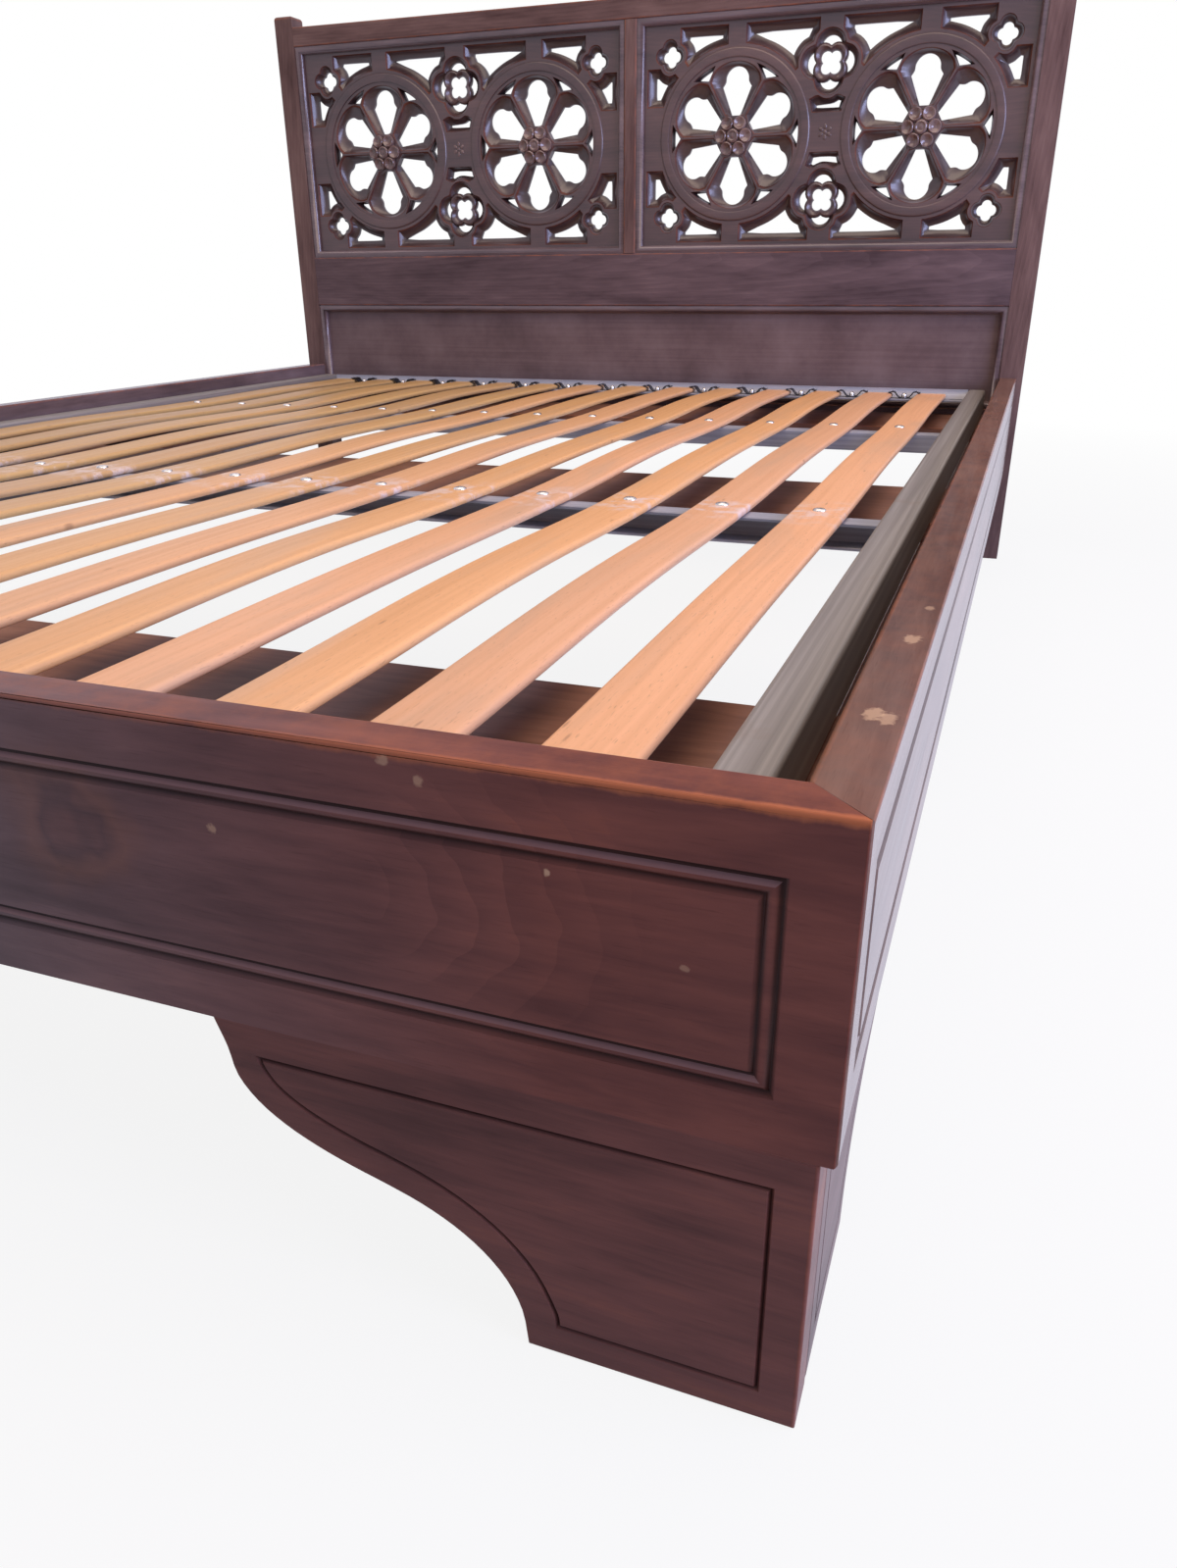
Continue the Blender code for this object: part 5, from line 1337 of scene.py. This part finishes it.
bud = bmesh.new()
beads = [Matrix.Diagonal(BUD)]
for t in turns(PETALS):
    spin = Matrix.Rotation(-t - math.pi / PETALS, 4, "Y") @ Matrix.Translation((BUD_PLACE, 0, 0))
    beads.append(spin @ Matrix.Diagonal(BUD_PETAL))
for bead in beads:
    bmesh.ops.create_uvsphere(bud, u_segments=12, v_segments=8, radius=1.0, matrix=bead)
bridges = [(wheels[0] + wheels[1]) / 2, (wheels[2] + wheels[3]) / 2]
repeat("bridge_flowers", bud, bridges, carved, "bed_frame")

# %% [markdown]
# ## Inner foils
#
# Each large quatrefoil holds a second, smaller one, turned by an eighth and set deeper, so that its lobes
# rest on the cusps of the first. It is lofted from six turned outlines and then repeated.

# %% Inner foils
FOIL_STEPS = 10
FOIL_TURN = math.pi / 4
# Round its section: how far the lobes sit from the middle, their radius, and the depth in the panel
FOIL_SECTION = ((0.0172, 0.0180, 0.0186), (0.0172, 0.0180, 0.0085), (0.0160, 0.0158, 0.0055),
                (0.0150, 0.0144, 0.0050), (0.0126, 0.0118, 0.0088), (0.0108, 0.0102, 0.0125),
                (0.0108, 0.0102, 0.0186))


def foil_outline(offset, radius):
    """Returns four lobes that meet in cusps, as points (x, z)."""
    reach = (offset + math.sqrt(2 * radius ** 2 - offset ** 2)) / 2
    half = math.atan2(reach, reach - offset)
    points = []
    for k in range(4):
        axis = k * math.pi / 2 + FOIL_TURN
        for step in range(FOIL_STEPS):
            t = axis - half + 2 * half * step / FOIL_STEPS
            points.append((offset * math.cos(axis) + radius * math.cos(t),
                           offset * math.sin(axis) + radius * math.sin(t)))
    return points


inner_foil = bmesh.new()
foil_rings = [[inner_foil.verts.new((x, depth, z)) for x, z in foil_outline(offset, radius)]
              for offset, radius, depth in FOIL_SECTION]
for k, ring in enumerate(foil_rings):
    join_rings(inner_foil, ring, foil_rings[(k + 1) % len(foil_rings)])
repeat("inner_foils", inner_foil, foil_places, hoop_stain, "bed_frame")

# %% [markdown]
# ## Beech slats
#
# The slats are steamed beech, lacquered, and each is sprung: it bows up a little between the bars that
# hold it. Fourteen of them follow one rule, so a second tree makes them: a line for each slat is bent by
# three half waves, one for each span, and a rounded section is swept along it.

# %% Places of the slats
slat_nodes = sorted(n for n in nodes if n.startswith("slat_"))
first_low, first_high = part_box(slat_nodes[0])
SLAT_SIZE = first_high - first_low
FIRST_SLAT = (first_low + first_high) / 2
PITCH_X = (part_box(slat_nodes[-1])[0].x - first_low.x) / (len(slat_nodes) - 1)
slat_x = [FIRST_SLAT.x + PITCH_X * k for k in range(len(slat_nodes))]
bar_middles = [sum(corner.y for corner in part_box(f"{n}_cross_bar")) / 2 for n in ("near", "far")]
print(len(slat_x), "slats,", round(PITCH_X * 1000, 1), "mm apart")

# %% [markdown]
# Every slat comes from another board, so the finish first counts them from the left. The number shifts the
# pattern and picks the board's colour. Painted light lies over it: the slats are duller at the left and
# lighter towards the right, and every other board is pinker, more so towards the right. Streaks, flecks and
# grey stains lie over it, then small knots, and lacquer that flakes at the near bar.

# %% Lacquered beech
PATTERN_SHIFT = 3.7  # metres between the patterns of two slats
# Painted light across the bed: from duller slats at the left to lighter ones at the right
PAINTED_SHADE_X, PAINTED_LIGHT_X, PAINTED_LIGHT_SHARE = -0.5, 0.62, 0.72
BOARD_SPREAD = 0.28
BLUSH = "#E4AE8D"
# Size across, along and up; the noise where a mark starts and is full; its share; its colour.
# Beech's short dark flecks are drawn coarser than real so they show.
BEECH_MARKS = {"streak": ((0.0060, 0.42, 0.0060), 0.40, 0.75, 0.26, "#B87C4C"),
               "fleck": ((0.0011, 0.009, 0.0011), 0.60, 0.72, 0.35, "#8A5A38"),
               "stain": ((0.05, 0.30, 0.05), 0.50, 0.72, 0.35, "#B39A80")}
KNOT_SCALE = (16.0, 3.1, 0.0)  # cells of the knots' pattern in a metre, across and along
FLAKE_BACK = 0.015  # the flakes' middle, from the near bar towards the foot

beech, tree, shader = new_material("lacquered_beech")
place = add(tree, "ShaderNodeTexCoord").outputs["Object"]
parts = add(tree, "ShaderNodeSeparateXYZ", {"Vector": place})
count = add(tree, "ShaderNodeMath", {0: parts.outputs["X"], 1: 1 / PITCH_X, 2: 0.5 - FIRST_SLAT.x / PITCH_X},
            operation="MULTIPLY_ADD")
count = add(tree, "ShaderNodeMath", {0: count}, operation="FLOOR")
dice = add(tree, "ShaderNodeTexWhiteNoise", {"W": count}, noise_dimensions="1D")
shift = add(tree, "ShaderNodeCombineXYZ", {"X": count, "Y": dice.outputs["Value"], "Z": count})
shift = add(tree, "ShaderNodeVectorMath", {0: shift, "Scale": PATTERN_SHIFT}, operation="SCALE")
moved = add(tree, "ShaderNodeVectorMath", {0: place, 1: shift}, operation="ADD")
# painted light: the slats grow lighter towards the right
side = add(tree, "ShaderNodeMapRange", {"Value": parts.outputs["X"], "From Min": PAINTED_SHADE_X,
                                        "From Max": PAINTED_LIGHT_X, "To Min": 0.0, "To Max": PAINTED_LIGHT_SHARE})
tint = add(tree, "ShaderNodeMath", {0: dice.outputs["Value"], 1: BOARD_SPREAD, 2: side},
           operation="MULTIPLY_ADD")
board = add(tree, "ShaderNodeValToRGB", {"Fac": tint},
            stops=((0.0, "#B9955F"), (1.0, "#F8B985"), (0.35, "#CAA165"), (0.7, "#EAAE6E")))
odd = add(tree, "ShaderNodeMath", {0: count, 1: 2.0}, operation="FLOORED_MODULO")
# every other board is pinker, and the pink grows with the painted light towards the right
blush = add(tree, "ShaderNodeMath", {0: odd, 1: -0.56, 2: 0.77}, operation="MULTIPLY_ADD")
blush = add(tree, "ShaderNodeMath", {0: blush, 1: side}, operation="MULTIPLY")
look = add(tree, "ShaderNodeMix", {0: blush, 6: board, 7: colour(BLUSH)}, data_type="RGBA").outputs[2]
marks = {}
for kind, (size, least, most, share, code) in BEECH_MARKS.items():
    scaled = add(tree, "ShaderNodeMapping", {"Vector": moved, "Scale": [1 / s for s in size]})
    marks[kind] = add(tree, "ShaderNodeTexNoise", {"Vector": scaled, "Scale": 1.0, "Detail": 3.0,
                                                   "Roughness": 0.55, "Distortion": 0.3})
    shown = add(tree, "ShaderNodeMapRange", {"Value": marks[kind], "From Min": least, "From Max": most,
                                             "To Min": 0.0, "To Max": share})
    look = add(tree, "ShaderNodeMix", {0: shown, 6: look, 7: colour(code)}, data_type="RGBA").outputs[2]
scaled = add(tree, "ShaderNodeMapping", {"Vector": moved, "Scale": KNOT_SCALE})
knots = add(tree, "ShaderNodeTexVoronoi", {"Vector": scaled, "Scale": 1.0}, voronoi_dimensions="2D")
knot = add(tree, "ShaderNodeMapRange", {"Value": knots.outputs["Distance"], "From Min": 0.008,
                                        "From Max": 0.022, "To Min": 0.4, "To Max": 0.0})
off = add(tree, "ShaderNodeMath", {0: parts.outputs["Y"], 1: bar_middles[0] - FLAKE_BACK},
          operation="SUBTRACT")
off = add(tree, "ShaderNodeMath", {0: off}, operation="ABSOLUTE")
close = add(tree, "ShaderNodeMapRange", {"Value": off, "From Min": 0.02, "From Max": 0.07, "To Min": 1.0,
                                         "To Max": 0.0})
flaked = add(tree, "ShaderNodeTexNoise", {"Vector": moved, "Scale": 45.0, "Detail": 4.0, "Roughness": 0.7})
flaked = add(tree, "ShaderNodeMapRange", {"Value": flaked, "From Min": 0.48, "From Max": 0.62, "To Max": 0.55})
flaked = add(tree, "ShaderNodeMath", {0: flaked, 1: close}, operation="MULTIPLY")
for share, code in ((knot, "#6B3F24"), (flaked, "#E6DAD6")):
    look = add(tree, "ShaderNodeMix", {0: share, 6: look, 7: colour(code)}, data_type="RGBA").outputs[2]
tree.links.new(look, shader.inputs["Base Color"])
gloss = add(tree, "ShaderNodeMapRange", {"Value": marks["streak"], "To Min": 0.34, "To Max": 0.55})
tree.links.new(gloss.outputs[0], shader.inputs["Roughness"])
shader.inputs["Specular IOR Level"].default_value = 0.35
bump = add(tree, "ShaderNodeBump", {"Height": marks["streak"], "Strength": 0.2, "Distance": 0.0004})
tree.links.new(bump.outputs[0], shader.inputs["Normal"])

print("beech with", len(tree.nodes), "nodes")

# %% [markdown]
# The tree for the slats draws a line on each place and cuts it into short steps. In each span between two
# supports a squared sine lifts it, so that the slat leaves its bars level, and each slat bows a little more
# or less than its neighbour.

# %% The tree of sprung slats
SLAT_EDGE = 0.0038
SLAT_POINTS = 73  # along a slat
NUMBER_SHIFT = 40.25  # keeps the slats' numbers above zero
BOWS = {"Near bow": 0.0036, "Middle bow": 0.0036, "Far bow": 0.0025}  # metres, a slat's rise in each span
BOW_SPREAD = 0.5  # as a share of the bow
SUPPORTS = [first_low.y, *bar_middles, first_high.y]

slat_tree, given, slat_sockets = start_tree("sprung_slats", {
    "Places": "Geometry", "Length": "Float", "Width": "Float", "Thickness": "Float", "Edge": "Float",
    **{bow: "Float" for bow in BOWS}, "Bow spread": "Float", "Pitch": "Float", "Seed": "Int",
    "Finish": "Material"})
given = given.outputs
half = add(slat_tree, "ShaderNodeMath", {0: given["Length"], 1: 0.5}, operation="MULTIPLY")
less = add(slat_tree, "ShaderNodeMath", {0: half, 1: -1.0}, operation="MULTIPLY")
start = add(slat_tree, "ShaderNodeCombineXYZ", {"Y": less})
stop = add(slat_tree, "ShaderNodeCombineXYZ", {"Y": half})
line = add(slat_tree, "GeometryNodeCurvePrimitiveLine", {"Start": start, "End": stop})
lines = add(slat_tree, "GeometryNodeInstanceOnPoints", {"Points": given["Places"], "Instance": line})
lines = add(slat_tree, "GeometryNodeRealizeInstances", {"Geometry": lines})
lines = add(slat_tree, "GeometryNodeResampleCurve", {"Curve": lines, "Count": SLAT_POINTS})
where = add(slat_tree, "ShaderNodeSeparateXYZ", {"Vector": add(slat_tree, "GeometryNodeInputPosition")})
number = add(slat_tree, "ShaderNodeMath", {0: where.outputs["X"], 1: given["Pitch"]}, operation="DIVIDE")
number = add(slat_tree, "ShaderNodeMath", {0: number, 1: NUMBER_SHIFT}, operation="ADD")
number = add(slat_tree, "FunctionNodeFloatToInt", {0: number}, rounding_mode="FLOOR")
low_bow = add(slat_tree, "ShaderNodeMath", {0: 1.0, 1: given["Bow spread"]}, operation="SUBTRACT")
high_bow = add(slat_tree, "ShaderNodeMath", {0: 1.0, 1: given["Bow spread"]}, operation="ADD")
rise = None
for k, (near, far, bow) in enumerate(zip(SUPPORTS, SUPPORTS[1:], BOWS)):
    span = add(slat_tree, "ShaderNodeMapRange", {"Value": where.outputs["Y"], "From Min": near,
                                                 "From Max": far, "To Min": 0.0, "To Max": math.pi})
    wave = add(slat_tree, "ShaderNodeMath", {0: span}, operation="SINE")
    wave = add(slat_tree, "ShaderNodeMath", {0: wave, 1: wave}, operation="MULTIPLY")
    seed = add(slat_tree, "ShaderNodeMath", {0: given["Seed"], 1: float(k)}, operation="ADD")
    luck = add(slat_tree, "FunctionNodeRandomValue", {2: low_bow, 3: high_bow, 7: number, 8: seed},
               data_type="FLOAT")
    wave = add(slat_tree, "ShaderNodeMath", {0: wave, 1: luck.outputs[1]}, operation="MULTIPLY")
    wave = add(slat_tree, "ShaderNodeMath", {0: wave, 1: given[bow]}, operation="MULTIPLY")
    rise = wave if rise is None else add(slat_tree, "ShaderNodeMath", {0: rise, 1: wave}, operation="ADD")
lift = add(slat_tree, "ShaderNodeCombineXYZ", {"Z": rise})
bent = add(slat_tree, "GeometryNodeSetPosition", {"Geometry": lines, "Offset": lift})
bent = add(slat_tree, "GeometryNodeSetCurveNormal", {"Curve": bent}, mode="Z_UP")
section = add(slat_tree, "GeometryNodeCurvePrimitiveQuadrilateral", {
    "Width": given["Width"], "Height": given["Thickness"]})
section = add(slat_tree, "GeometryNodeFilletCurve", {"Curve": section, "Count": 4,
                                                     "Radius": given["Edge"]}, mode="POLY")
swept = add(slat_tree, "GeometryNodeCurveToMesh", {"Curve": bent, "Profile Curve": section, "Fill Caps": True})
end_tree(slat_tree, swept, given["Finish"])
print("tree with", len(slat_tree.nodes), "nodes")

# %% [markdown]
# Now the tree runs on fourteen points, one in the middle of each slat's solid. Fourteen meshes could be bent
# by hand, but one tree keeps them alike, and a change of its values reaches them all.

# %% Make the slats
SLAT_SEED = 3

mesh = bpy.data.meshes.new("slat_places")
mesh.from_pydata([(x, FIRST_SLAT.y, FIRST_SLAT.z) for x in slat_x], [], [])
slats = run_tree("beech_slats", mesh, slat_tree, slat_sockets, {
    "Length": SLAT_SIZE.y, "Width": SLAT_SIZE.x, "Thickness": SLAT_SIZE.z, "Edge": SLAT_EDGE,
    **BOWS, "Bow spread": BOW_SPREAD, "Pitch": PITCH_X, "Seed": SLAT_SEED, "Finish": beech})
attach(slats, "slat_base")
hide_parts(*slat_nodes)
print(len(slat_nodes), "slats,", len(slats.data.polygons), "faces")

# %% [markdown]
# ## Grey steel
#
# The base's rails and bars are bare rolled steel with a dull zinc coat, streaked along its length, with
# some rust. Streaks are noise stretched along the bar. Rust shows only where a wide noise
# passes a limit, so it comes in patches.

# %% Steel of the base
STEEL_STREAK = 0.004
STREAK_LENGTH = 0.6
RUST_PATCH = 0.16
RUST_RISE = 0.10  # of the noise, from no rust to full rust
RUST = 0.6
STEEL_ROUND = 0.0006
STEEL_CORNER = math.radians(60)


def dull_steel(name, along, base, rust_from):
    """Dull zinc-coated steel, streaked along an axis, with patches of rust."""
    material, tree, shader = new_material(name)
    place = add(tree, "ShaderNodeTexCoord").outputs["Object"]
    sizes = [1 / STEEL_STREAK] * 3
    sizes["XYZ".index(along)] = 1 / STREAK_LENGTH
    scaled = add(tree, "ShaderNodeMapping", {"Vector": place, "Scale": sizes})
    streak = add(tree, "ShaderNodeTexNoise", {"Vector": scaled, "Scale": 1.0, "Detail": 4.0,
                                              "Roughness": 0.6})
    patch = add(tree, "ShaderNodeTexNoise", {"Vector": place, "Scale": 1 / RUST_PATCH, "Detail": 6.0,
                                             "Roughness": 0.62})
    look = add(tree, "ShaderNodeValToRGB", {"Fac": streak},
               stops=((0.30, base[0]), (0.72, base[2]), (0.5, base[1])))
    rust = add(tree, "ShaderNodeMapRange", {"Value": patch, "From Min": rust_from,
                                            "From Max": rust_from + RUST_RISE, "To Min": 0.0, "To Max": RUST})
    look = add(tree, "ShaderNodeMix", {0: rust, 6: look, 7: colour("#7C6752")}, data_type="RGBA")
    tree.links.new(look.outputs[2], shader.inputs["Base Color"])
    shine = add(tree, "ShaderNodeMapRange", {"Value": rust, "From Max": RUST, "To Min": 0.35, "To Max": 0.05})
    tree.links.new(shine.outputs[0], shader.inputs["Metallic"])
    rough = add(tree, "ShaderNodeMapRange", {"Value": streak, "To Min": 0.42, "To Max": 0.62})
    tree.links.new(rough.outputs[0], shader.inputs["Roughness"])
    bump = add(tree, "ShaderNodeBump", {"Height": streak, "Strength": 0.15, "Distance": 0.0003})
    tree.links.new(bump.outputs[0], shader.inputs["Normal"])
    return material


rail_steel = dull_steel("dull_zinc_steel_rails", "Y", ("#7A736C", "#8D867F", "#A39C95"), 0.60)
bar_steel = dull_steel("dull_zinc_steel_bars", "X", ("#86868E", "#9A9AA2", "#B0B0B8"), 0.66)
for name in ("left", "right"):
    shape, low, high = copy_of(f"base_{name}_rail")
    finish_piece(f"base_{name}_rail_streaked", shape, rail_steel, "slat_base",
                 [f"base_{name}_rail"])
for node in ("base_head_rail", "base_foot_rail", "near_cross_bar", "far_cross_bar"):
    shape, low, high = copy_of(node)
    edges = [e for e in shape.edges if e.is_manifold and e.calc_face_angle_signed() > STEEL_CORNER]
    round_edges(shape, edges, STEEL_ROUND, 2)
    finish_piece(f"{node}_rolled", shape, bar_steel, "slat_base", [node])
print("6 steel bars")

# %% [markdown]
# ## Rivets, clips and nuts
#
# Bright domed rivets hold every slat to the two cross bars. At both ends a sprung steel clip sits in each
# gap, its two wings pressing on the slats beside it, with a shiny nut in its middle. All of them are
# turned or folded once and then put in place by the repeating tree.

# %% Metal of the fasteners
def speckled_metal(name, fineness, detail, stops, rough, metallic):
    """Metal whose colour and shine vary in small specks."""
    material, tree, shader = new_material(name)
    place = add(tree, "ShaderNodeTexCoord").outputs["Object"]
    speck = add(tree, "ShaderNodeTexNoise", {"Vector": place, "Scale": fineness, "Detail": detail})
    look = add(tree, "ShaderNodeValToRGB", {"Fac": speck}, stops=stops)
    tree.links.new(look.outputs[0], shader.inputs["Base Color"])
    dull = add(tree, "ShaderNodeMapRange", {"Value": speck, "To Min": rough[0], "To Max": rough[1]})
    tree.links.new(dull.outputs[0], shader.inputs["Roughness"])
    shader.inputs["Metallic"].default_value = metallic
    return material


# Bright plating throws clear highlights; blackened spring steel is dark, with a dull gleam
zinc = speckled_metal("bright_zinc_plate", 260.0, 2.0, ((0.35, "#B9B3AC"), (0.65, "#E4DFDA")),
                      (0.12, 0.42), 1.0)
spring = speckled_metal("blackened_spring_steel", 180.0, 3.0, ((0.35, "#1C1C20"), (0.7, "#3E3E44")),
                        (0.25, 0.5), 0.8)
print(zinc.name, "and", spring.name)

# %% [markdown]
# A rivet's head is a flat dome. A flattened ball would do, but a turned profile gives it a crisp rim. The
# heads stand on the slats over both bars.

# %% Rivets
RIVET_HEAD = ((0.0072, -0.001), (0.0072, 0.0004), (0.0064, 0.0014), (0.0048, 0.0021), (0.0026, 0.0025),
              (0.0008, 0.0026))
rivet = bmesh.new()
turned_shape(rivet, RIVET_HEAD, sides=20, place=Matrix.Identity(4))
repeat("rivets", rivet, [(x, y, first_high.z) for y in bar_middles for x in slat_x], zinc, "slat_base",
       size_spread=0.12, turn_spread=math.pi)

# %% [markdown]
# A clip is a strip of spring steel, folded up at both sides. Its outline is drawn once for one wing, mirrored
# for the other, given the thickness of the sheet, and widened along the bed.

# %% Clips
CLIP_WIDTH = 0.016
CLIP_SHEET = 0.0016
CLIP_INSET = 0.012  # from the slats' ends to the clip's middle
SLAT_GAP = PITCH_X - SLAT_SIZE.x
WING = ((0.0, 0.0008), (0.006, 0.0008), (0.0105, 0.0030), (SLAT_GAP / 2 - 0.0050, 0.0105),
        (SLAT_GAP / 2 - 0.0005, 0.0116), (SLAT_GAP / 2 + 0.0045, 0.0094), (SLAT_GAP / 2 + 0.0070, 0.0106))


def folded_strip(shape, points, thickness, width):
    """Adds a strip of sheet metal folded along points (x, z), as wide as given along Y."""
    upper = []
    lower = []
    for k, point in enumerate(points):
        before = points[max(k - 1, 0)]
        after = points[min(k + 1, len(points) - 1)]
        way = (Vector(after) - Vector(before)).normalized()
        lift = Vector((-way.y, way.x)) * thickness / 2
        upper.append(Vector(point) + lift)
        lower.append(Vector(point) - lift)
    outline = lower + upper[::-1]
    ends = [[shape.verts.new((p.x, y, p.y)) for p in outline] for y in (-width / 2, width / 2)]
    strip = len(points)
    for k in range(strip - 1):
        quad = (k, k + 1, 2 * strip - 2 - k, 2 * strip - 1 - k)
        shape.faces.new([ends[0][i] for i in quad])
        shape.faces.new([ends[1][i] for i in reversed(quad)])
    join_rings(shape, *ends)


flange_top = first_low.z
clip = bmesh.new()
folded_strip(clip, [(-x, z) for x, z in reversed(WING[1:])] + list(WING), CLIP_SHEET, CLIP_WIDTH)
gaps = [(a + b) / 2 for a, b in zip(slat_x, slat_x[1:])]
ends = (first_low.y + CLIP_INSET, first_high.y - CLIP_INSET)
clip_places = [(x, y, flange_top) for y in ends for x in gaps]
repeat("slat_clips", clip, clip_places, spring, "slat_base", turn_spread=0.12)

# %% [markdown]
# The nut on each clip has a flange and a domed cap, and sits on the sheet of the clip. It is turned with few
# sides, and each copy gets its own turn, as no two nuts stop at the same angle.

# %% Nuts
NUT = ((0.0070, 0.0), (0.0070, 0.0010), (0.0048, 0.0012), (0.0048, 0.0046), (0.0040, 0.0062),
       (0.0024, 0.0072), (0.0008, 0.0075))
nut = bmesh.new()
turned_shape(nut, NUT, sides=12, place=Matrix.Translation((0, 0, CLIP_SHEET)))
repeat("clip_nuts", nut, clip_places, zinc, "slat_base", turn_spread=math.pi)

# %% [markdown]
# ## Empty slots and screws
#
# The end rails are punched for one more clip at the right side, and that slot stays empty. Inside the
# frame, cross-headed screws hold the ledgers. Both are small, but they show when the base is lifted.

# %% Empty slots
SLOT_LENGTH = 0.030
SLOT_WIDTH = 0.009
SLOT_RISE = 0.0002
SLOT_SINK = 0.0003

slot = bmesh.new()
outline = []
for t in turns(24):
    x = (SLOT_LENGTH - SLOT_WIDTH) / 2 * (1 if math.cos(t) > 0 else -1)
    outline.append((x + SLOT_WIDTH / 2 * math.cos(t), SLOT_WIDTH / 2 * math.sin(t)))
low_ring = [slot.verts.new((x, y, -SLOT_RISE)) for x, y in outline]
high_ring = [slot.verts.new((x, y, SLOT_RISE)) for x, y in outline]
slot.faces.new(low_ring[::-1])
slot.faces.new(high_ring)
join_rings(slot, low_ring, high_ring)
outer_gap = slat_x[-1] + PITCH_X / 2
slot_places = [(outer_gap, y, flange_top - SLOT_SINK) for y in ends]
repeat("empty_slots", slot, slot_places, spring, "slat_base")

# %% [markdown]
# Five screws hold each ledger. Their heads are turned flat domes with a small recess. The shafts are hidden
# in the wood, so only the heads are made.

# %% Ledger screws
SCREW_COUNT = 5
SCREW_HEAD = ((0.0042, -0.001), (0.0042, 0.0003), (0.0036, 0.0008), (0.0014, 0.0010), (0.0011, 0.0001))
for name, side in (("left", 1), ("right", -1)):
    low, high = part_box(f"{name}_ledger")
    face = (high.x if side > 0 else low.x) + side * LEDGER_SHADE_EXTRA
    screw = bmesh.new()
    turned_shape(screw, SCREW_HEAD, sides=16, place=Matrix.Rotation(side * math.pi / 2, 4, "Y"))
    step = (high.y - low.y) / SCREW_COUNT
    places = [(face, low.y + step * (k + 0.5), (low.z + high.z) / 2) for k in range(SCREW_COUNT)]
    repeat(f"{name}_ledger_screws", screw, places, zinc, "bed_frame")

# %% [markdown]
# ## Bed bolts
#
# The bolts and barrel nuts that hold the side rails keep their solids. They are blackened steel, so they
# only need that finish.

# %% Bed bolts and nuts
bolts = [n for n in nodes if n.endswith("bed_bolt") or n.endswith("barrel_nut")]
for node in bolts:
    nodes[node].data.materials.clear()
    nodes[node].data.materials.append(spring)
print(len(bolts), "bolts and nuts")
